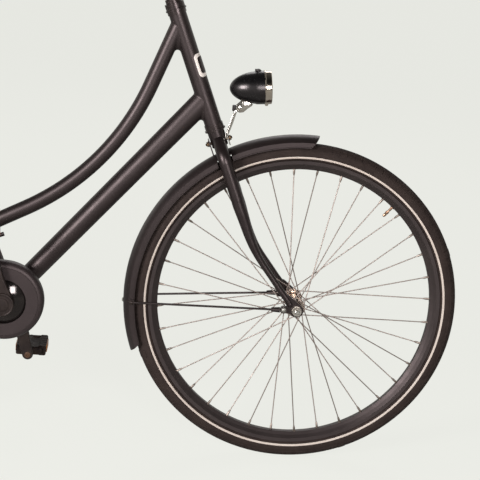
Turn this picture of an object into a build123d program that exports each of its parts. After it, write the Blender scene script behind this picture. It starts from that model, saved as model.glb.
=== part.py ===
from build123d import *
import os
from math import cos, radians, sin

# A child's step-through bicycle with 24 inch wheels, parked on its rear stand.
# Millimetres. +X is forward, +Y is the rider's left and +Z is up. The origin is on the floor
# under the middle of the bicycle, and the right side, where the chain runs, is -Y.

# Wheels
tyre_radius = 307.0
tyre_section = 18.5
tyre_wall = 3.5
rim_inner_radius = 258.0
rim_edge_radius = 276.0
rim_half_width = 14.5
rim_wall = 2.2
spoke_count = 36
spoke_radius = 1.0
spoke_cross_angle = 60.0
rear_wheel_lift = 38.0

# Layout: axle places in the side view
wheelbase = 943.0
front_axle = Vector(479.0, 0, tyre_radius)
rear_axle = Vector(front_axle.X - wheelbase, 0, tyre_radius + rear_wheel_lift)
crank_axle = Vector(-61.0, 0, 294.0)

# Steering: the axis leans back and passes behind the front axle
head_angle = 68.0
steering_foot_x = 435.0
head_low = 357.0
head_high = 567.0
head_tube_radius = 15.9
head_bore_radius = 14.2
steerer_radius = 12.7

# Frame tubes
seat_angle = 68.0
seat_tube_radius = 17.5
seat_tube_length = 385.0
seat_post_radius = 13.6
top_tube_radius = 13.9
top_tube_bend_radius = 460.0
down_tube_foot_radius = 18.2
down_tube_head_height = 20.8
down_tube_head_width = 15.4
chain_stay_radius = 8.5
seat_stay_radius = 7.0
shell_radius = 20.0
shell_half_width = 34.0
dropout_inner = 55.0
dropout_outer = 59.0
brake_side = 36.0
brake_wall = 2.6

# Mudguards, round both wheels
guard_radius = 322.0
guard_half_width = 24.0
guard_skirt_radius = 302.0
guard_shoulder_radius = 311.0
guard_wall = 1.6
guard_bead_radius = 1.6

# Fork
fork_leg_radius = 11.8
fork_tip_radius = 6.1
fork_half_width = 39.0
fork_bend_along = 115.0
fork_bend_radius = 260.0
fork_inner = 50.0
fork_outer = 55.0
crown_bolt_along = 324.0

# Drive
crank_length = 150.0
crank_lead = 15.3
crank_inner = 69.0
crank_outer = 81.0
crank_boss_radius = 22.0
crank_waist_radius = 14.5
crank_waist_share = 0.3
crank_end_radius = 10.5
case_outer = 62.6
case_inner = 35.0
case_wall = 2.0
case_front_radius = 74.5
case_shoulder = 11.0
case_back_shoulder = 9.0
case_rear_radius = 52.0
case_hole_radius = 42.0
pedal_inner = 97.0
pedal_outer = 169.0
pedal_length = 58.0
pedal_thickness = 20.0
pedal_tread = 15.0
pedal_plate = 4.0
pedal_offset = 4.0
pedal_barrel_radius = 8.0
pedal_spindle_radius = 5.0

# Running clearances
shaft_clearance = 0.06
face_clearance = 0.4

forward = Vector(1, 0, 0)
leftward = Vector(0, 1, 0)
both_sides = (-1, 1)
pieces = {}


def steer(along, ahead=0.0, side=0.0):
    # A point from its distance up the steering axis, ahead of it and to the left of it.
    lean = radians(head_angle)
    x = steering_foot_x - along * cos(lean) + ahead * sin(lean)
    z = front_axle.Z + along * sin(lean) + ahead * cos(lean)
    return Vector(x, side, z)


def seat(along, ahead=0.0, side=0.0):
    # A point from its distance up the seat tube, ahead of it and to the left of it.
    lean = radians(seat_angle)
    x = crank_axle.X - along * cos(lean) + ahead * sin(lean)
    z = crank_axle.Z + along * sin(lean) + ahead * cos(lean)
    return Vector(x, side, z)


def polar(centre, radius, angle, side=0.0):
    # A point round a wheel, its angle counted from straight ahead towards straight up.
    turn = radians(angle)
    return Vector(centre.X + radius * cos(turn), side, centre.Z + radius * sin(turn))


def rod(start, end, radius, end_radius=None):
    span = Vector(end) - Vector(start)
    place = Plane(origin=Vector(start), z_dir=span)
    base = (Align.CENTER, Align.CENTER, Align.MIN)
    if end_radius is None:
        return place * Cylinder(radius, span.length, align=base)
    return place * Cone(radius, end_radius, span.length, align=base)


def cross_rod(centre, radius, side_from, side_to):
    low = Vector(centre.X, side_from, centre.Z)
    high = Vector(centre.X, side_to, centre.Z)
    return rod(low, high, radius)


def bent_rod(points, radii, radius):
    path = FilletPolyline(*points, radius=radii)
    section = Plane(origin=path @ 0, z_dir=path % 0) * Circle(radius)
    return sweep(section, path=path)


def turned(outline, centre, direction):
    # Revolve a closed outline, drawn along the axis and out from it, round the axis.
    side = Vector(0, 1, 0) if abs(direction.Y) < 0.5 else Vector(0, 0, 1)
    frame = Plane(origin=centre, x_dir=direction, z_dir=direction.cross(side))
    return revolve(make_face(frame * outline), axis=Axis(centre, direction))


def hex_nut(centre, side, start, length, flats):
    plane = Plane(origin=(centre.X, side * start, centre.Z), x_dir=forward, z_dir=(0, side, 0))
    return extrude(plane * RegularPolygon(flats / 2, 6, major_radius=False), length)


# ---------------------------------------------------------------- wheels

def ring_section(centre, angle):
    # The plane across a wheel's rim at an angle: X outwards along the radius, Y to the left.
    turn = radians(angle)
    outwards = Vector(cos(turn), 0, sin(turn))
    return Plane(origin=centre, x_dir=outwards, z_dir=outwards.cross(leftward))


def tyre(centre):
    middle = tyre_radius - tyre_section
    bead = rim_edge_radius - 2.0
    casing = Pos(middle, 0) * Circle(tyre_section)
    air = Pos(middle, 0) * Circle(tyre_section - tyre_wall)
    well = Pos(bead - 20, 0) * Rectangle(40, 60)
    mouth = Pos(bead - 6, 0) * Rectangle(24, 17)
    face = ring_section(centre, 0) * (casing - air - well - mouth)
    return revolve(face, axis=Axis(centre, leftward))


def rim(centre):
    floor_radius = rim_inner_radius + 1.5
    waist = 9.0
    outline = [
        (rim_edge_radius - 0.5, rim_half_width),
        (rim_edge_radius - 7.0, rim_half_width - 0.6),
        (floor_radius + 4.0, waist),
        (rim_inner_radius, 5.0),
        (rim_inner_radius, -5.0),
        (floor_radius + 4.0, -waist),
        (rim_edge_radius - 7.0, -rim_half_width + 0.6),
        (rim_edge_radius - 0.5, -rim_half_width),
        (rim_edge_radius - 0.5, -rim_half_width + rim_wall),
        (rim_edge_radius - 6.0, -rim_half_width + rim_wall + 0.4),
        (floor_radius + 5.0, -waist + rim_wall),
        (rim_inner_radius + rim_wall, -4.0),
        (rim_inner_radius + rim_wall, 4.0),
        (floor_radius + 5.0, waist - rim_wall),
        (rim_edge_radius - 6.0, rim_half_width - rim_wall - 0.4),
        (rim_edge_radius - 0.5, rim_half_width - rim_wall),
    ]
    face = make_face(ring_section(centre, 0) * Polyline(*outline, close=True))
    return revolve(face, axis=Axis(centre, leftward))


def spokes(centre, hole_circle, flange_side):
    # Three-cross lacing: each spoke runs from its flange hole to a rim hole 60 degrees on,
    # and its neighbour on the same flange runs as far the other way, on the flange's other face.
    step = 360.0 / spoke_count
    laced = []
    for index in range(spoke_count):
        side = 1 if index % 2 == 0 else -1
        lead = 1 if (index // 2) % 2 == 0 else -1
        rim_angle = (index + 0.5) * step
        hub_angle = rim_angle + lead * spoke_cross_angle
        head = polar(centre, hole_circle, hub_angle, side * (flange_side + 1.9 * lead))
        nipple = polar(centre, rim_inner_radius + 0.8, rim_angle, side * 2.5)
        laced.append(rod(head, nipple, spoke_radius))
    return Compound(children=laced)


def hub(centre, outline, bore):
    body = turned(Polyline(*outline, close=True), centre, leftward)
    reach = max(abs(along) for along, radius in outline) + 1
    return body - cross_rod(centre, bore, -reach, reach)


def hub_outline(flange, flange_side, flange_wall, barrel, right_end, left_end, end_radius):
    half = flange_wall / 2
    outline = []
    for side, end in ((-1, right_end), (1, left_end)):
        quarter = [
            (end, 0),
            (end, end_radius),
            (flange_side + half + 3, end_radius + 1.5),
            (flange_side + half, barrel + 2),
            (flange_side + half, flange),
            (flange_side - half, flange),
            (flange_side - half, barrel + 2),
            (flange_side - half - 4, barrel),
        ]
        if side > 0:
            quarter.reverse()
        outline += [(side * along, radius) for along, radius in quarter]
    return outline


def axle(centre, radius, reach, nut_start, nut_length, flats):
    shaft = cross_rod(centre, radius, -reach, reach)
    for side in both_sides:
        washer = cross_rod(centre, flats * 0.62, side * nut_start, side * (nut_start + 1.6))
        shaft += washer
        shaft += hex_nut(centre, side, nut_start + 1.6, nut_length, flats)
    return shaft


front_axle_radius = 4.75
rear_axle_radius = 5.0
front_flange_side = 32.0
rear_flange_side = 28.0
front_hub_end = fork_inner - face_clearance
rear_hub_end = dropout_inner - face_clearance

pieces["front_tyre"] = tyre(front_axle)
pieces["rear_tyre"] = tyre(rear_axle)
pieces["front_rim"] = rim(front_axle)
pieces["rear_rim"] = rim(rear_axle)
pieces["front_spokes"] = spokes(front_axle, 15.5, front_flange_side)
pieces["rear_spokes"] = spokes(rear_axle, 29.0, rear_flange_side)
pieces["front_hub"] = hub(
    front_axle,
    hub_outline(18.0, front_flange_side, 2.6, 9.5, front_hub_end, front_hub_end, 8.0),
    front_axle_radius + shaft_clearance,
)
pieces["rear_hub"] = hub(
    rear_axle,
    hub_outline(32.0, rear_flange_side, 3.0, 25.0, rear_hub_end, brake_side - face_clearance, 9.0),
    rear_axle_radius + shaft_clearance,
) + (
    cross_rod(rear_axle, 36.0, -47.0, -44.0) - cross_rod(rear_axle, 9.0, -50, -40)
)
pieces["front_axle"] = axle(front_axle, front_axle_radius, 66.0, fork_outer, 7.5, 15.0)
pieces["rear_axle"] = axle(rear_axle, rear_axle_radius, 94.0, 78.6, 7.0, 15.0)


# ---------------------------------------------------------------- frame

seat_bore_depth = 150.0
top_tube_head_along = 552.0
top_tube_seat_along = 132.0
top_tube_corner = Vector(122.0, 0, 539.3)
down_tube_foot = Vector(-53.4, 0, 291.2)
down_tube_head_along = 405.0


def head_tube():
    outer = rod(steer(head_low), steer(head_high), head_tube_radius)
    bore = rod(steer(head_low - 5), steer(head_high + 5), head_bore_radius)
    return outer - bore


def headset_cup(low, high, flange_low):
    outer = rod(steer(low), steer(high), head_tube_radius + 1.4)
    outer += rod(steer(flange_low), steer(flange_low + 2.6), head_tube_radius + 3.2)
    bore = rod(steer(low - 1), steer(high + 1), head_bore_radius)
    return outer - bore


def seat_tube():
    outer = rod(seat(0), seat(seat_tube_length), seat_tube_radius)
    bore = rod(seat(seat_tube_length - seat_bore_depth), seat(seat_tube_length + 5), seat_post_radius + 0.1)
    peg = rod(seat(107, 0), seat(107, 34), 4.0)
    return outer - bore + (peg - rod(seat(60), seat(160), seat_tube_radius))


def bottom_bracket():
    shell = cross_rod(crank_axle, shell_radius, -shell_half_width, shell_half_width)
    bore = cross_rod(crank_axle, spindle_radius + shaft_clearance, -60, 60)
    return shell - bore


def top_tube():
    points = [steer(top_tube_head_along), top_tube_corner, seat(top_tube_seat_along)]
    return bent_rod(points, top_tube_bend_radius, top_tube_radius)


def down_tube():
    # Round at the bottom bracket, drawn to a tall oval where it meets the head tube.
    head = steer(down_tube_head_along)
    span = head - down_tube_foot
    low = Plane(origin=down_tube_foot, x_dir=leftward, z_dir=span)
    middle = Plane(origin=down_tube_foot + span * 0.72, x_dir=leftward, z_dir=span)
    high = Plane(origin=head, x_dir=leftward, z_dir=span)
    middle_radius = down_tube_foot_radius + 1.4
    return loft(
        [
            low * Circle(down_tube_foot_radius),
            middle * Ellipse(middle_radius, middle_radius + 0.1),
            high * Ellipse(down_tube_head_width, down_tube_head_height),
        ],
        ruled=True,
    )


def welded(tube, host, weld_radius):
    # The tube with a fillet of weld where it meets its host, which is then cut away.
    joined = tube + host
    seam = new_edges(tube, host, combined=joined)
    return fillet(seam, weld_radius) - host


spindle_radius = 8.0
shell_solid = cross_rod(crank_axle, shell_radius, -shell_half_width, shell_half_width)
head_solid = rod(steer(head_low - 20), steer(head_high + 20), head_tube_radius)
seat_solid = rod(seat(-20), seat(seat_tube_length + 100), seat_tube_radius)

pieces["head_tube"] = head_tube()
pieces["headset_cups"] = headset_cup(343.6, head_low, 344.6) + headset_cup(head_high, 577.4, 573.6)
pieces["bottom_bracket"] = bottom_bracket()
pieces["seat_tube"] = seat_tube() - shell_solid
pieces["down_tube"] = welded(down_tube(), head_solid, 5.0) - shell_solid - seat_solid
pieces["top_tube"] = welded(top_tube(), head_solid, 6.0) - seat_solid


def chain_stays():
    stays = []
    for side in both_sides:
        points = [
            crank_axle + Vector(-8, side * 20, 0),
            crank_axle + Vector(-85, side * 34.5, 10.8),
            rear_axle + Vector(55, side * 48.5, -7.0),
        ]
        stays.append(bent_rod(points, 60, chain_stay_radius))
    bridge_place = crank_axle + Vector(-62, 0, 7.5)
    bridge = cross_rod(bridge_place, 6.0, -34, 34)
    return stays[0] + stays[1] + bridge - shell_solid - seat_solid


def dropout(side):
    plane = Plane(origin=(0, side * dropout_inner, 0), x_dir=forward, z_dir=(0, -1, 0))
    sketch = (
        make_hull(
            [
                (Pos(rear_axle.X, rear_axle.Z) * Circle(15)).edge(),
                (Pos(rear_axle.X + 58, rear_axle.Z - 7) * Circle(9)).edge(),
                (Pos(rear_axle.X + 37, rear_axle.Z + 43) * Circle(8)).edge(),
            ]
        )
    )
    sketch += make_hull(
        [
            (Pos(rear_axle.X, rear_axle.Z) * Circle(9)).edge(),
            (Pos(rear_axle.X - 24, rear_axle.Z + 1.7) * Circle(7)).edge(),
        ]
    )
    plate = extrude(plane * sketch, -side * (dropout_outer - dropout_inner))
    return plate - cross_rod(rear_axle, rear_axle_radius + 0.02, side * 40, side * 70)


def seat_stays():
    stays = []
    for side in both_sides:
        points = [
            seat(346, 0, side * 10),
            seat(330, -46, side * 38),
            rear_axle + Vector(36, side * 50.5, 42),
        ]
        stays.append(bent_rod(points, 45, seat_stay_radius))
    bridge_place = seat(330, -46) + (rear_axle - seat(330, -46)) * 0.03
    bridge = cross_rod(bridge_place, 5.0, -34, 34)
    return stays[0] + stays[1] + bridge - seat_solid


dropouts = dropout(-1) + dropout(1)
pieces["chain_stays"] = chain_stays() + dropouts
pieces["seat_stays"] = seat_stays() - dropouts - pieces["chain_stays"]


def seat_clamp():
    ring = rod(seat(seat_tube_length - 16), seat(seat_tube_length + 2), seat_tube_radius + 3.5)
    ring -= rod(seat(seat_tube_length - 20), seat(seat_tube_length), seat_tube_radius)
    ring -= rod(seat(seat_tube_length - 20), seat(seat_tube_length + 9), seat_post_radius + 0.1)
    bolt_place = seat(seat_tube_length - 7, -seat_tube_radius - 5.5)
    ears = cross_rod(bolt_place, 5.5, -9, 9)
    ears -= rod(seat(seat_tube_length - 20), seat(seat_tube_length + 9), seat_tube_radius)
    return ring + ears


seat_post_top = 485.0
pieces["seat_clamp"] = seat_clamp()
pieces["seat_post"] = rod(seat(seat_tube_length - seat_bore_depth + 20), seat(seat_post_top), seat_post_radius)


# ---------------------------------------------------------------- saddle

saddle_centre_x = -246.0
saddle_length = 248.0
saddle_half_width = 92.0
saddle_nose_half_width = 26.0
saddle_base_z = 757.0
saddle_height = 38.0
saddle_seat_x = -270.0


def saddle_cover():
    rear_x = saddle_centre_x - saddle_length / 2
    nose_x = saddle_centre_x + saddle_length / 2
    left = [
        (nose_x - 14, saddle_nose_half_width * 0.85),
        (saddle_centre_x + 40, saddle_nose_half_width + 8),
        (saddle_centre_x - 20, saddle_half_width * 0.72),
        (rear_x + 40, saddle_half_width),
        (rear_x + 6, saddle_half_width * 0.6),
    ]
    right = [(x, -y) for x, y in reversed(left)]
    outline = Spline((nose_x, 0), *left, (rear_x, 0), *right, periodic=True)
    body = extrude(Pos(0, 0, saddle_base_z) * make_face(outline), saddle_height + 20)
    # The top dips in the middle and rises to the back.
    heights = [
        (nose_x + 12, 0.55),
        (nose_x - 26, 0.78),
        (saddle_centre_x + 35, 0.8),
        (saddle_seat_x, 0.86),
        (rear_x + 42, 1.0),
        (rear_x - 12, 0.9),
    ]
    crest = Spline(*[(x, saddle_base_z + saddle_height * share) for x, share in heights])
    closing = Polyline(crest @ 1, (rear_x - 12, saddle_base_z), (nose_x + 12, saddle_base_z), crest @ 0)
    body &= extrude(Plane.XZ * make_face(crest + closing), 200, both=True)
    return fillet(body.faces().sort_by(Axis.Z)[-1].edges(), 9)


def spring(centre, radius, wire, low, high, turns):
    rings = []
    for turn in range(turns):
        height = low + wire + (high - low - 2 * wire) * turn / (turns - 1)
        rings.append(Pos(centre[0], centre[1], height) * Torus(radius, wire))
    return rings


def saddle_frame():
    # Two rails under the cover, a clamp on the seat post and two coil springs at the back.
    parts = []
    rail_z = 741.0
    clamp = cross_rod(Vector(saddle_centre_x + 5, 0, rail_z), 12.0, -26, 26)
    clamp -= rod(seat(400), seat(seat_post_top), seat_post_radius)
    frame = clamp
    for side in both_sides:
        points = [
            Vector(saddle_centre_x + 108, side * 8, saddle_base_z - 4),
            Vector(saddle_centre_x + 66, side * 20, rail_z),
            Vector(saddle_centre_x - 62, side * 22, rail_z),
            Vector(saddle_centre_x - 96, side * 52, 716.0),
        ]
        frame += bent_rod(points, [12, 12], 3.5)
        frame += Pos(saddle_centre_x - 96, side * 52, 714) * Cylinder(17, 4)
        frame += Pos(saddle_centre_x - 96, side * 52, saddle_base_z - 2) * Cylinder(17, 4)
        frame += Pos(saddle_centre_x - 96, side * 52, 735.5) * Cylinder(5, 43)
        parts += spring((saddle_centre_x - 96, side * 52), 12.5, 2.0, 716.2, 754.8, 5)
    nose_plate = Pos(saddle_centre_x + 108, 0, saddle_base_z - 3) * Box(22, 30, 6)
    frame += nose_plate
    return Compound(children=[frame] + parts)


pieces["saddle_cover"] = saddle_cover()
pieces["saddle_frame"] = saddle_frame()


# ---------------------------------------------------------------- mudguards

def guard_section():
    half = guard_half_width
    outer = (
        Line((guard_skirt_radius, half), (guard_shoulder_radius, half))
        + ThreePointArc((guard_shoulder_radius, half), (guard_radius, 0), (guard_shoulder_radius, -half))
        + Line((guard_shoulder_radius, -half), (guard_skirt_radius, -half))
    )
    inner_half = half - guard_wall
    inner = (
        Line((guard_skirt_radius, -inner_half), (guard_shoulder_radius, -inner_half))
        + ThreePointArc(
            (guard_shoulder_radius, -inner_half),
            (guard_radius - guard_wall, 0),
            (guard_shoulder_radius, inner_half),
        )
        + Line((guard_shoulder_radius, inner_half), (guard_skirt_radius, inner_half))
    )
    ends = (
        Line((guard_skirt_radius, -half), (guard_skirt_radius, -inner_half))
        + Line((guard_skirt_radius, inner_half), (guard_skirt_radius, half))
    )
    section = make_face(outer + inner + ends)
    for side in both_sides:
        bead = RegularPolygon(guard_bead_radius, 8, rotation=22.5)
        section += Pos(guard_skirt_radius, side * (half - 0.9)) * bead
    return section


def mudguard(centre, low_angle, high_angle):
    face = ring_section(centre, low_angle) * guard_section()
    spun = revolve(face, axis=Axis(centre, -leftward), revolution_arc=high_angle - low_angle)
    return spun


def slant_cut(piece, tip, corner, keep_point):
    # Cut the guard's end along the line from its crown's tip to its skirt's corner.
    along = (corner - tip).normalized()
    normal = along.cross(leftward)
    if (keep_point - tip).dot(normal) > 0:
        normal = normal * -1
    middle = (tip + corner) * 0.5
    waste = Plane(origin=middle, x_dir=leftward, z_dir=normal) * Box(
        60, 60, 50, align=(Align.CENTER, Align.CENTER, Align.MIN)
    )
    return piece - waste


def front_mudguard():
    guard = mudguard(front_axle, 84.0, 203.0)
    keep = polar(front_axle, guard_radius, 140.0)
    nose_tip = polar(front_axle, guard_radius, 86.5)
    nose_corner = polar(front_axle, guard_skirt_radius, 89.1)
    guard = slant_cut(guard, nose_tip, nose_corner, keep)
    tail_tip = polar(front_axle, guard_radius, 200.1)
    tail_corner = polar(front_axle, guard_skirt_radius, 198.0)
    guard = slant_cut(guard, tail_tip, tail_corner, keep)
    # The skirts are cut away where the fork legs pass.
    notch_low = steer(285)
    notch_plane = Plane(origin=notch_low, x_dir=steer(286) - notch_low, z_dir=(0, -1, 0))
    notch = notch_plane * Box(60, 29, 80)
    guard -= notch - notch_plane * Box(80, 45, 2 * guard_half_width - 8)
    tab = Plane(origin=steer(316, -17.5), x_dir=(0, 1, 0), z_dir=steer(0, 1) - steer(0, 0)) * Box(14, 32, 2.0)
    tab -= rod(steer(crown_bolt_along, -25), steer(crown_bolt_along, 25), 3.1)
    return guard + tab


def rear_mudguard():
    guard = mudguard(rear_axle, -14.0, 203.0)
    keep = polar(rear_axle, guard_radius, 100.0)
    tail_tip = polar(rear_axle, guard_radius, 200.9)
    tail_corner = polar(rear_axle, guard_skirt_radius, 198.4)
    return slant_cut(guard, tail_tip, tail_corner, keep)


def guard_stays(centre, eye_radius, lug_face, eye_side, clip_length):
    # A wire each side from an eye beside the axle to the guard's skirt, with a safety clip or none.
    stays = []
    for side in both_sides:
        eye = polar(centre, eye_radius, 176.0, side * eye_side)
        end = polar(centre, guard_skirt_radius + 4, 182.0, side * (guard_half_width + 2.8))
        run = (end - eye).normalized()
        wire = rod(eye, end, 2.0)
        if clip_length:
            wire += rod(eye + run * 7, eye + run * (7 + clip_length), 5.3, 4.0)
        wire += cross_rod(eye, 6.5, side * lug_face, side * (eye_side + 2))
        wire += cross_rod(end, 5.5, side * (guard_half_width - 1), side * (guard_half_width + 4.2))
        stays.append(wire)
    return stays[0] + stays[1]


pieces["front_mudguard"] = front_mudguard()
pieces["rear_mudguard"] = rear_mudguard()
front_stays = guard_stays(front_axle, 25.0, fork_outer, fork_outer + 3.2, 16.0)
rear_stays = guard_stays(rear_axle, 24.0, dropout_outer, 66.0, 0)
pieces["front_mudguard_stays"] = front_stays - pieces["front_mudguard"]
pieces["rear_mudguard_stays"] = rear_stays - pieces["rear_mudguard"]

# ---------------------------------------------------------------- fork and steering

fork_blade_steps = 9
blade_taper_start = 200.0
blade_taper_end = 84.0
blade_end_ahead = 37.0


def blade_radius(along):
    share = (blade_taper_start - along) / (blade_taper_start - blade_taper_end)
    share = min(max(share, 0.0), 1.0)
    return fork_leg_radius + (fork_tip_radius - fork_leg_radius) * share


def fork_leg(side):
    # An elbow out of the crown, a straight tube, then a blade that bends forward and thins.
    bend = steer(fork_bend_along, 0, side * 46.0)
    shoulder = steer(300, 0, side * fork_half_width)
    straight_end = shoulder + (bend - shoulder) * 0.45
    low_end = steer(-16.5, blade_end_ahead, side * 52.0)
    tip = low_end + (bend - low_end) * 0.12
    elbow = [steer(326, 0, side * 5), shoulder, straight_end]
    leg = bent_rod(elbow, 26, fork_leg_radius)
    path = FilletPolyline(straight_end, bend, tip, radius=fork_bend_radius)
    sections = []
    for step in range(fork_blade_steps + 1):
        share = step / fork_blade_steps
        place = path @ share
        along = (place - steer(0)).dot(steer(1) - steer(0))
        sections.append(Plane(origin=place, z_dir=path % share) * Circle(blade_radius(along)))
    leg += loft(sections)
    leg += Pos(*tip) * Sphere(fork_tip_radius + 0.3)
    return leg


def fork_dropout(side):
    plane = Plane(origin=(0, side * fork_inner, 0), x_dir=forward, z_dir=(0, -1, 0))
    neck = steer(12, blade_end_ahead - 6)
    lug = front_axle + Vector(-25, 0, 1.8)
    sketch = make_hull(
        [
            (Pos(front_axle.X, front_axle.Z) * Circle(12.6)).edge(),
            (Pos(neck.X, neck.Z) * Circle(7.0)).edge(),
        ]
    )
    sketch += make_hull(
        [
            (Pos(front_axle.X, front_axle.Z) * Circle(7)).edge(),
            (Pos(lug.X, lug.Z) * Circle(6)).edge(),
        ]
    )
    plate = extrude(plane * sketch, -side * (fork_outer - fork_inner))
    return plate - cross_rod(front_axle, front_axle_radius + 0.02, side * 40, side * 70)


def fork():
    crown = rod(steer(314), steer(334), 15.0)
    race = rod(steer(333), steer(343.2), 15.6)
    steerer = rod(steer(330), steer(590), steerer_radius)
    body = crown + race + steerer
    for side in both_sides:
        body += fork_leg(side)
        body += fork_dropout(side)
    body -= cross_rod(front_axle, front_axle_radius + 0.02, -80, 80)
    body -= cross_rod(front_axle, 14.0, -fork_inner, fork_inner)
    bolt_hole = rod(steer(crown_bolt_along, -40), steer(crown_bolt_along, 40), 3.0)
    return body - bolt_hole


def headset_nut():
    ring = rod(steer(577.8), steer(587), head_tube_radius + 1.7)
    ring += rod(steer(587), steer(595), 14.4)
    return ring - rod(steer(570), steer(600), steerer_radius)


def crown_bolt():
    bolt = rod(steer(crown_bolt_along, -23.5), steer(crown_bolt_along, 24.5), 2.95)
    bolt += rod(steer(crown_bolt_along, -22.9), steer(crown_bolt_along, -18.6), 5.2)
    bolt += rod(steer(crown_bolt_along, 19.0), steer(crown_bolt_along, 23.5), 5.2)
    return bolt


bar_clamp = Vector(232.0, 0, 930.0)
bar_radius = 11.1
bar_points = [
    Vector(232.0, 48, 930.0),
    Vector(262.0, 213, 990.0),
    Vector(56.0, 268, 974.0),
]
grip_length = 118.0


def handlebar():
    right = [Vector(point.X, -point.Y, point.Z) for point in reversed(bar_points)]
    return bent_rod(right + bar_points, [75, 60, 60, 75], bar_radius)


def grips():
    shapes = []
    for side in both_sides:
        end = Vector(bar_points[2].X, side * bar_points[2].Y, bar_points[2].Z)
        corner = Vector(bar_points[1].X, side * bar_points[1].Y, bar_points[1].Z)
        inwards = (corner - end).normalized()
        cap = end - inwards * 4
        inner = end + inwards * grip_length
        grip = rod(cap, inner, 15.5)
        grip += rod(inner - inwards * 4, inner, 19.0)
        shapes.append(grip - rod(end, inner + inwards, bar_radius))
    return Compound(children=shapes)


def stem():
    neck = [steer(595.2), steer(662), bar_clamp]
    body = bent_rod(neck, 20, 11.0)
    body += cross_rod(bar_clamp, 17.0, -21, 21)
    body -= cross_rod(bar_clamp, bar_radius, -60, 60)
    return body


bell_place = 0.34


def bell():
    start = Vector(bar_points[0].X, -bar_points[0].Y, bar_points[0].Z)
    corner = Vector(bar_points[1].X, -bar_points[1].Y, bar_points[1].Z)
    centre = start + (corner - start) * bell_place
    along = (corner - start).normalized()
    clip = rod(centre - along * 5, centre + along * 5, bar_radius + 3)
    clip -= rod(centre - along * 20, centre + along * 20, bar_radius)
    seat_z = centre.Z + 25.0
    post = rod(centre + Vector(0, 0, bar_radius + 2), Vector(centre.X, centre.Y, seat_z + 4), 4.0)
    dome = Pos(centre.X, centre.Y, seat_z) * (Sphere(26) - Sphere(24.4))
    dome -= Pos(centre.X, centre.Y, seat_z - 20) * Box(60, 60, 40)
    flat = Pos(centre.X, centre.Y, seat_z + 2) * Cylinder(24.6, 2)
    return clip + post + flat + dome


pieces["fork"] = fork()
pieces["headset_nut"] = headset_nut()
pieces["handlebar_stem"] = stem()
pieces["handlebar"] = handlebar()
pieces["grips"] = grips()
pieces["bell"] = bell()
pieces["crown_bolt"] = crown_bolt()
pieces["front_mudguard"] -= pieces["fork"]

# ---------------------------------------------------------------- headlamp

lamp_back = Vector(326.3, 0, 705.2)
lamp_tilt = 5.0
lamp_length = 76.0
lamp_radius = 30.5
lamp_wall = 1.6
bezel_depth = 12.0
lens_radius = 27.5


def lamp_point(along, above=0.0):
    tilt = radians(lamp_tilt)
    return lamp_back + Vector(along * cos(tilt) - above * sin(tilt), 0, along * sin(tilt) + above * cos(tilt))


lamp_direction = (lamp_point(1) - lamp_back).normalized()
lamp_shell_length = lamp_length - bezel_depth


def bullet(start, length, radius, beyond):
    # A solid nose with an elliptical side, round at its tip, run on past its wide end.
    points = []
    for index in range(9):
        turn = radians(90 * index / 8)
        points.append((start + length * (1 - cos(turn)), radius * sin(turn)))
    nose = Spline(*points, tangents=[(0, 1), (1, 0)])
    end = start + length + beyond
    edge = Polyline((start + length, radius), (end, radius), (end, 0), (start, 0))
    return turned(nose + edge, lamp_back, lamp_direction)


def headlamp_shell():
    shell = bullet(0, lamp_shell_length - 4, lamp_radius, 4)
    shell += rod(lamp_point(51, lamp_radius - 6), lamp_point(51, lamp_radius + 3.4), 4.6)
    return shell - bullet(lamp_wall, lamp_shell_length - 4 - lamp_wall, lamp_radius - lamp_wall, 10)


def headlamp_bezel():
    ring = rod(lamp_point(lamp_shell_length), lamp_point(lamp_length), lamp_radius + 0.8, lamp_radius - 0.8)
    tab = Plane(origin=lamp_point(lamp_shell_length + 3, -lamp_radius), x_dir=lamp_direction, z_dir=leftward)
    ring += tab * Box(5, 7, 6)
    return ring - rod(lamp_point(lamp_shell_length - 1), lamp_point(lamp_length + 1), lens_radius)


def headlamp_reflector():
    # A bright bowl behind the glass, with a short tube for the bulb.
    rim_start = lamp_shell_length + 1.0
    outer = bullet(30, rim_start - 31, lens_radius - 1, 1)
    bowl = outer - bullet(31.2, rim_start - 32.2, lens_radius - 2.2, 5)
    bowl += rod(lamp_point(rim_start - 1), lamp_point(rim_start + 1), lens_radius)
    bowl -= rod(lamp_point(rim_start - 2), lamp_point(rim_start + 2), lens_radius - 2.2)
    bulb_seat = rod(lamp_point(26), lamp_point(37), 4.2)
    return bowl + bulb_seat


def headlamp_lens():
    start = lamp_shell_length + 3.0
    crown_radius = 100.0
    glass = rod(lamp_point(start), lamp_point(start + 8), lens_radius)
    return glass & (Pos(*lamp_point(start - crown_radius + 6.8)) * Sphere(crown_radius))


bracket_joint = Vector(344.6, 0, 671.0)


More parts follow.
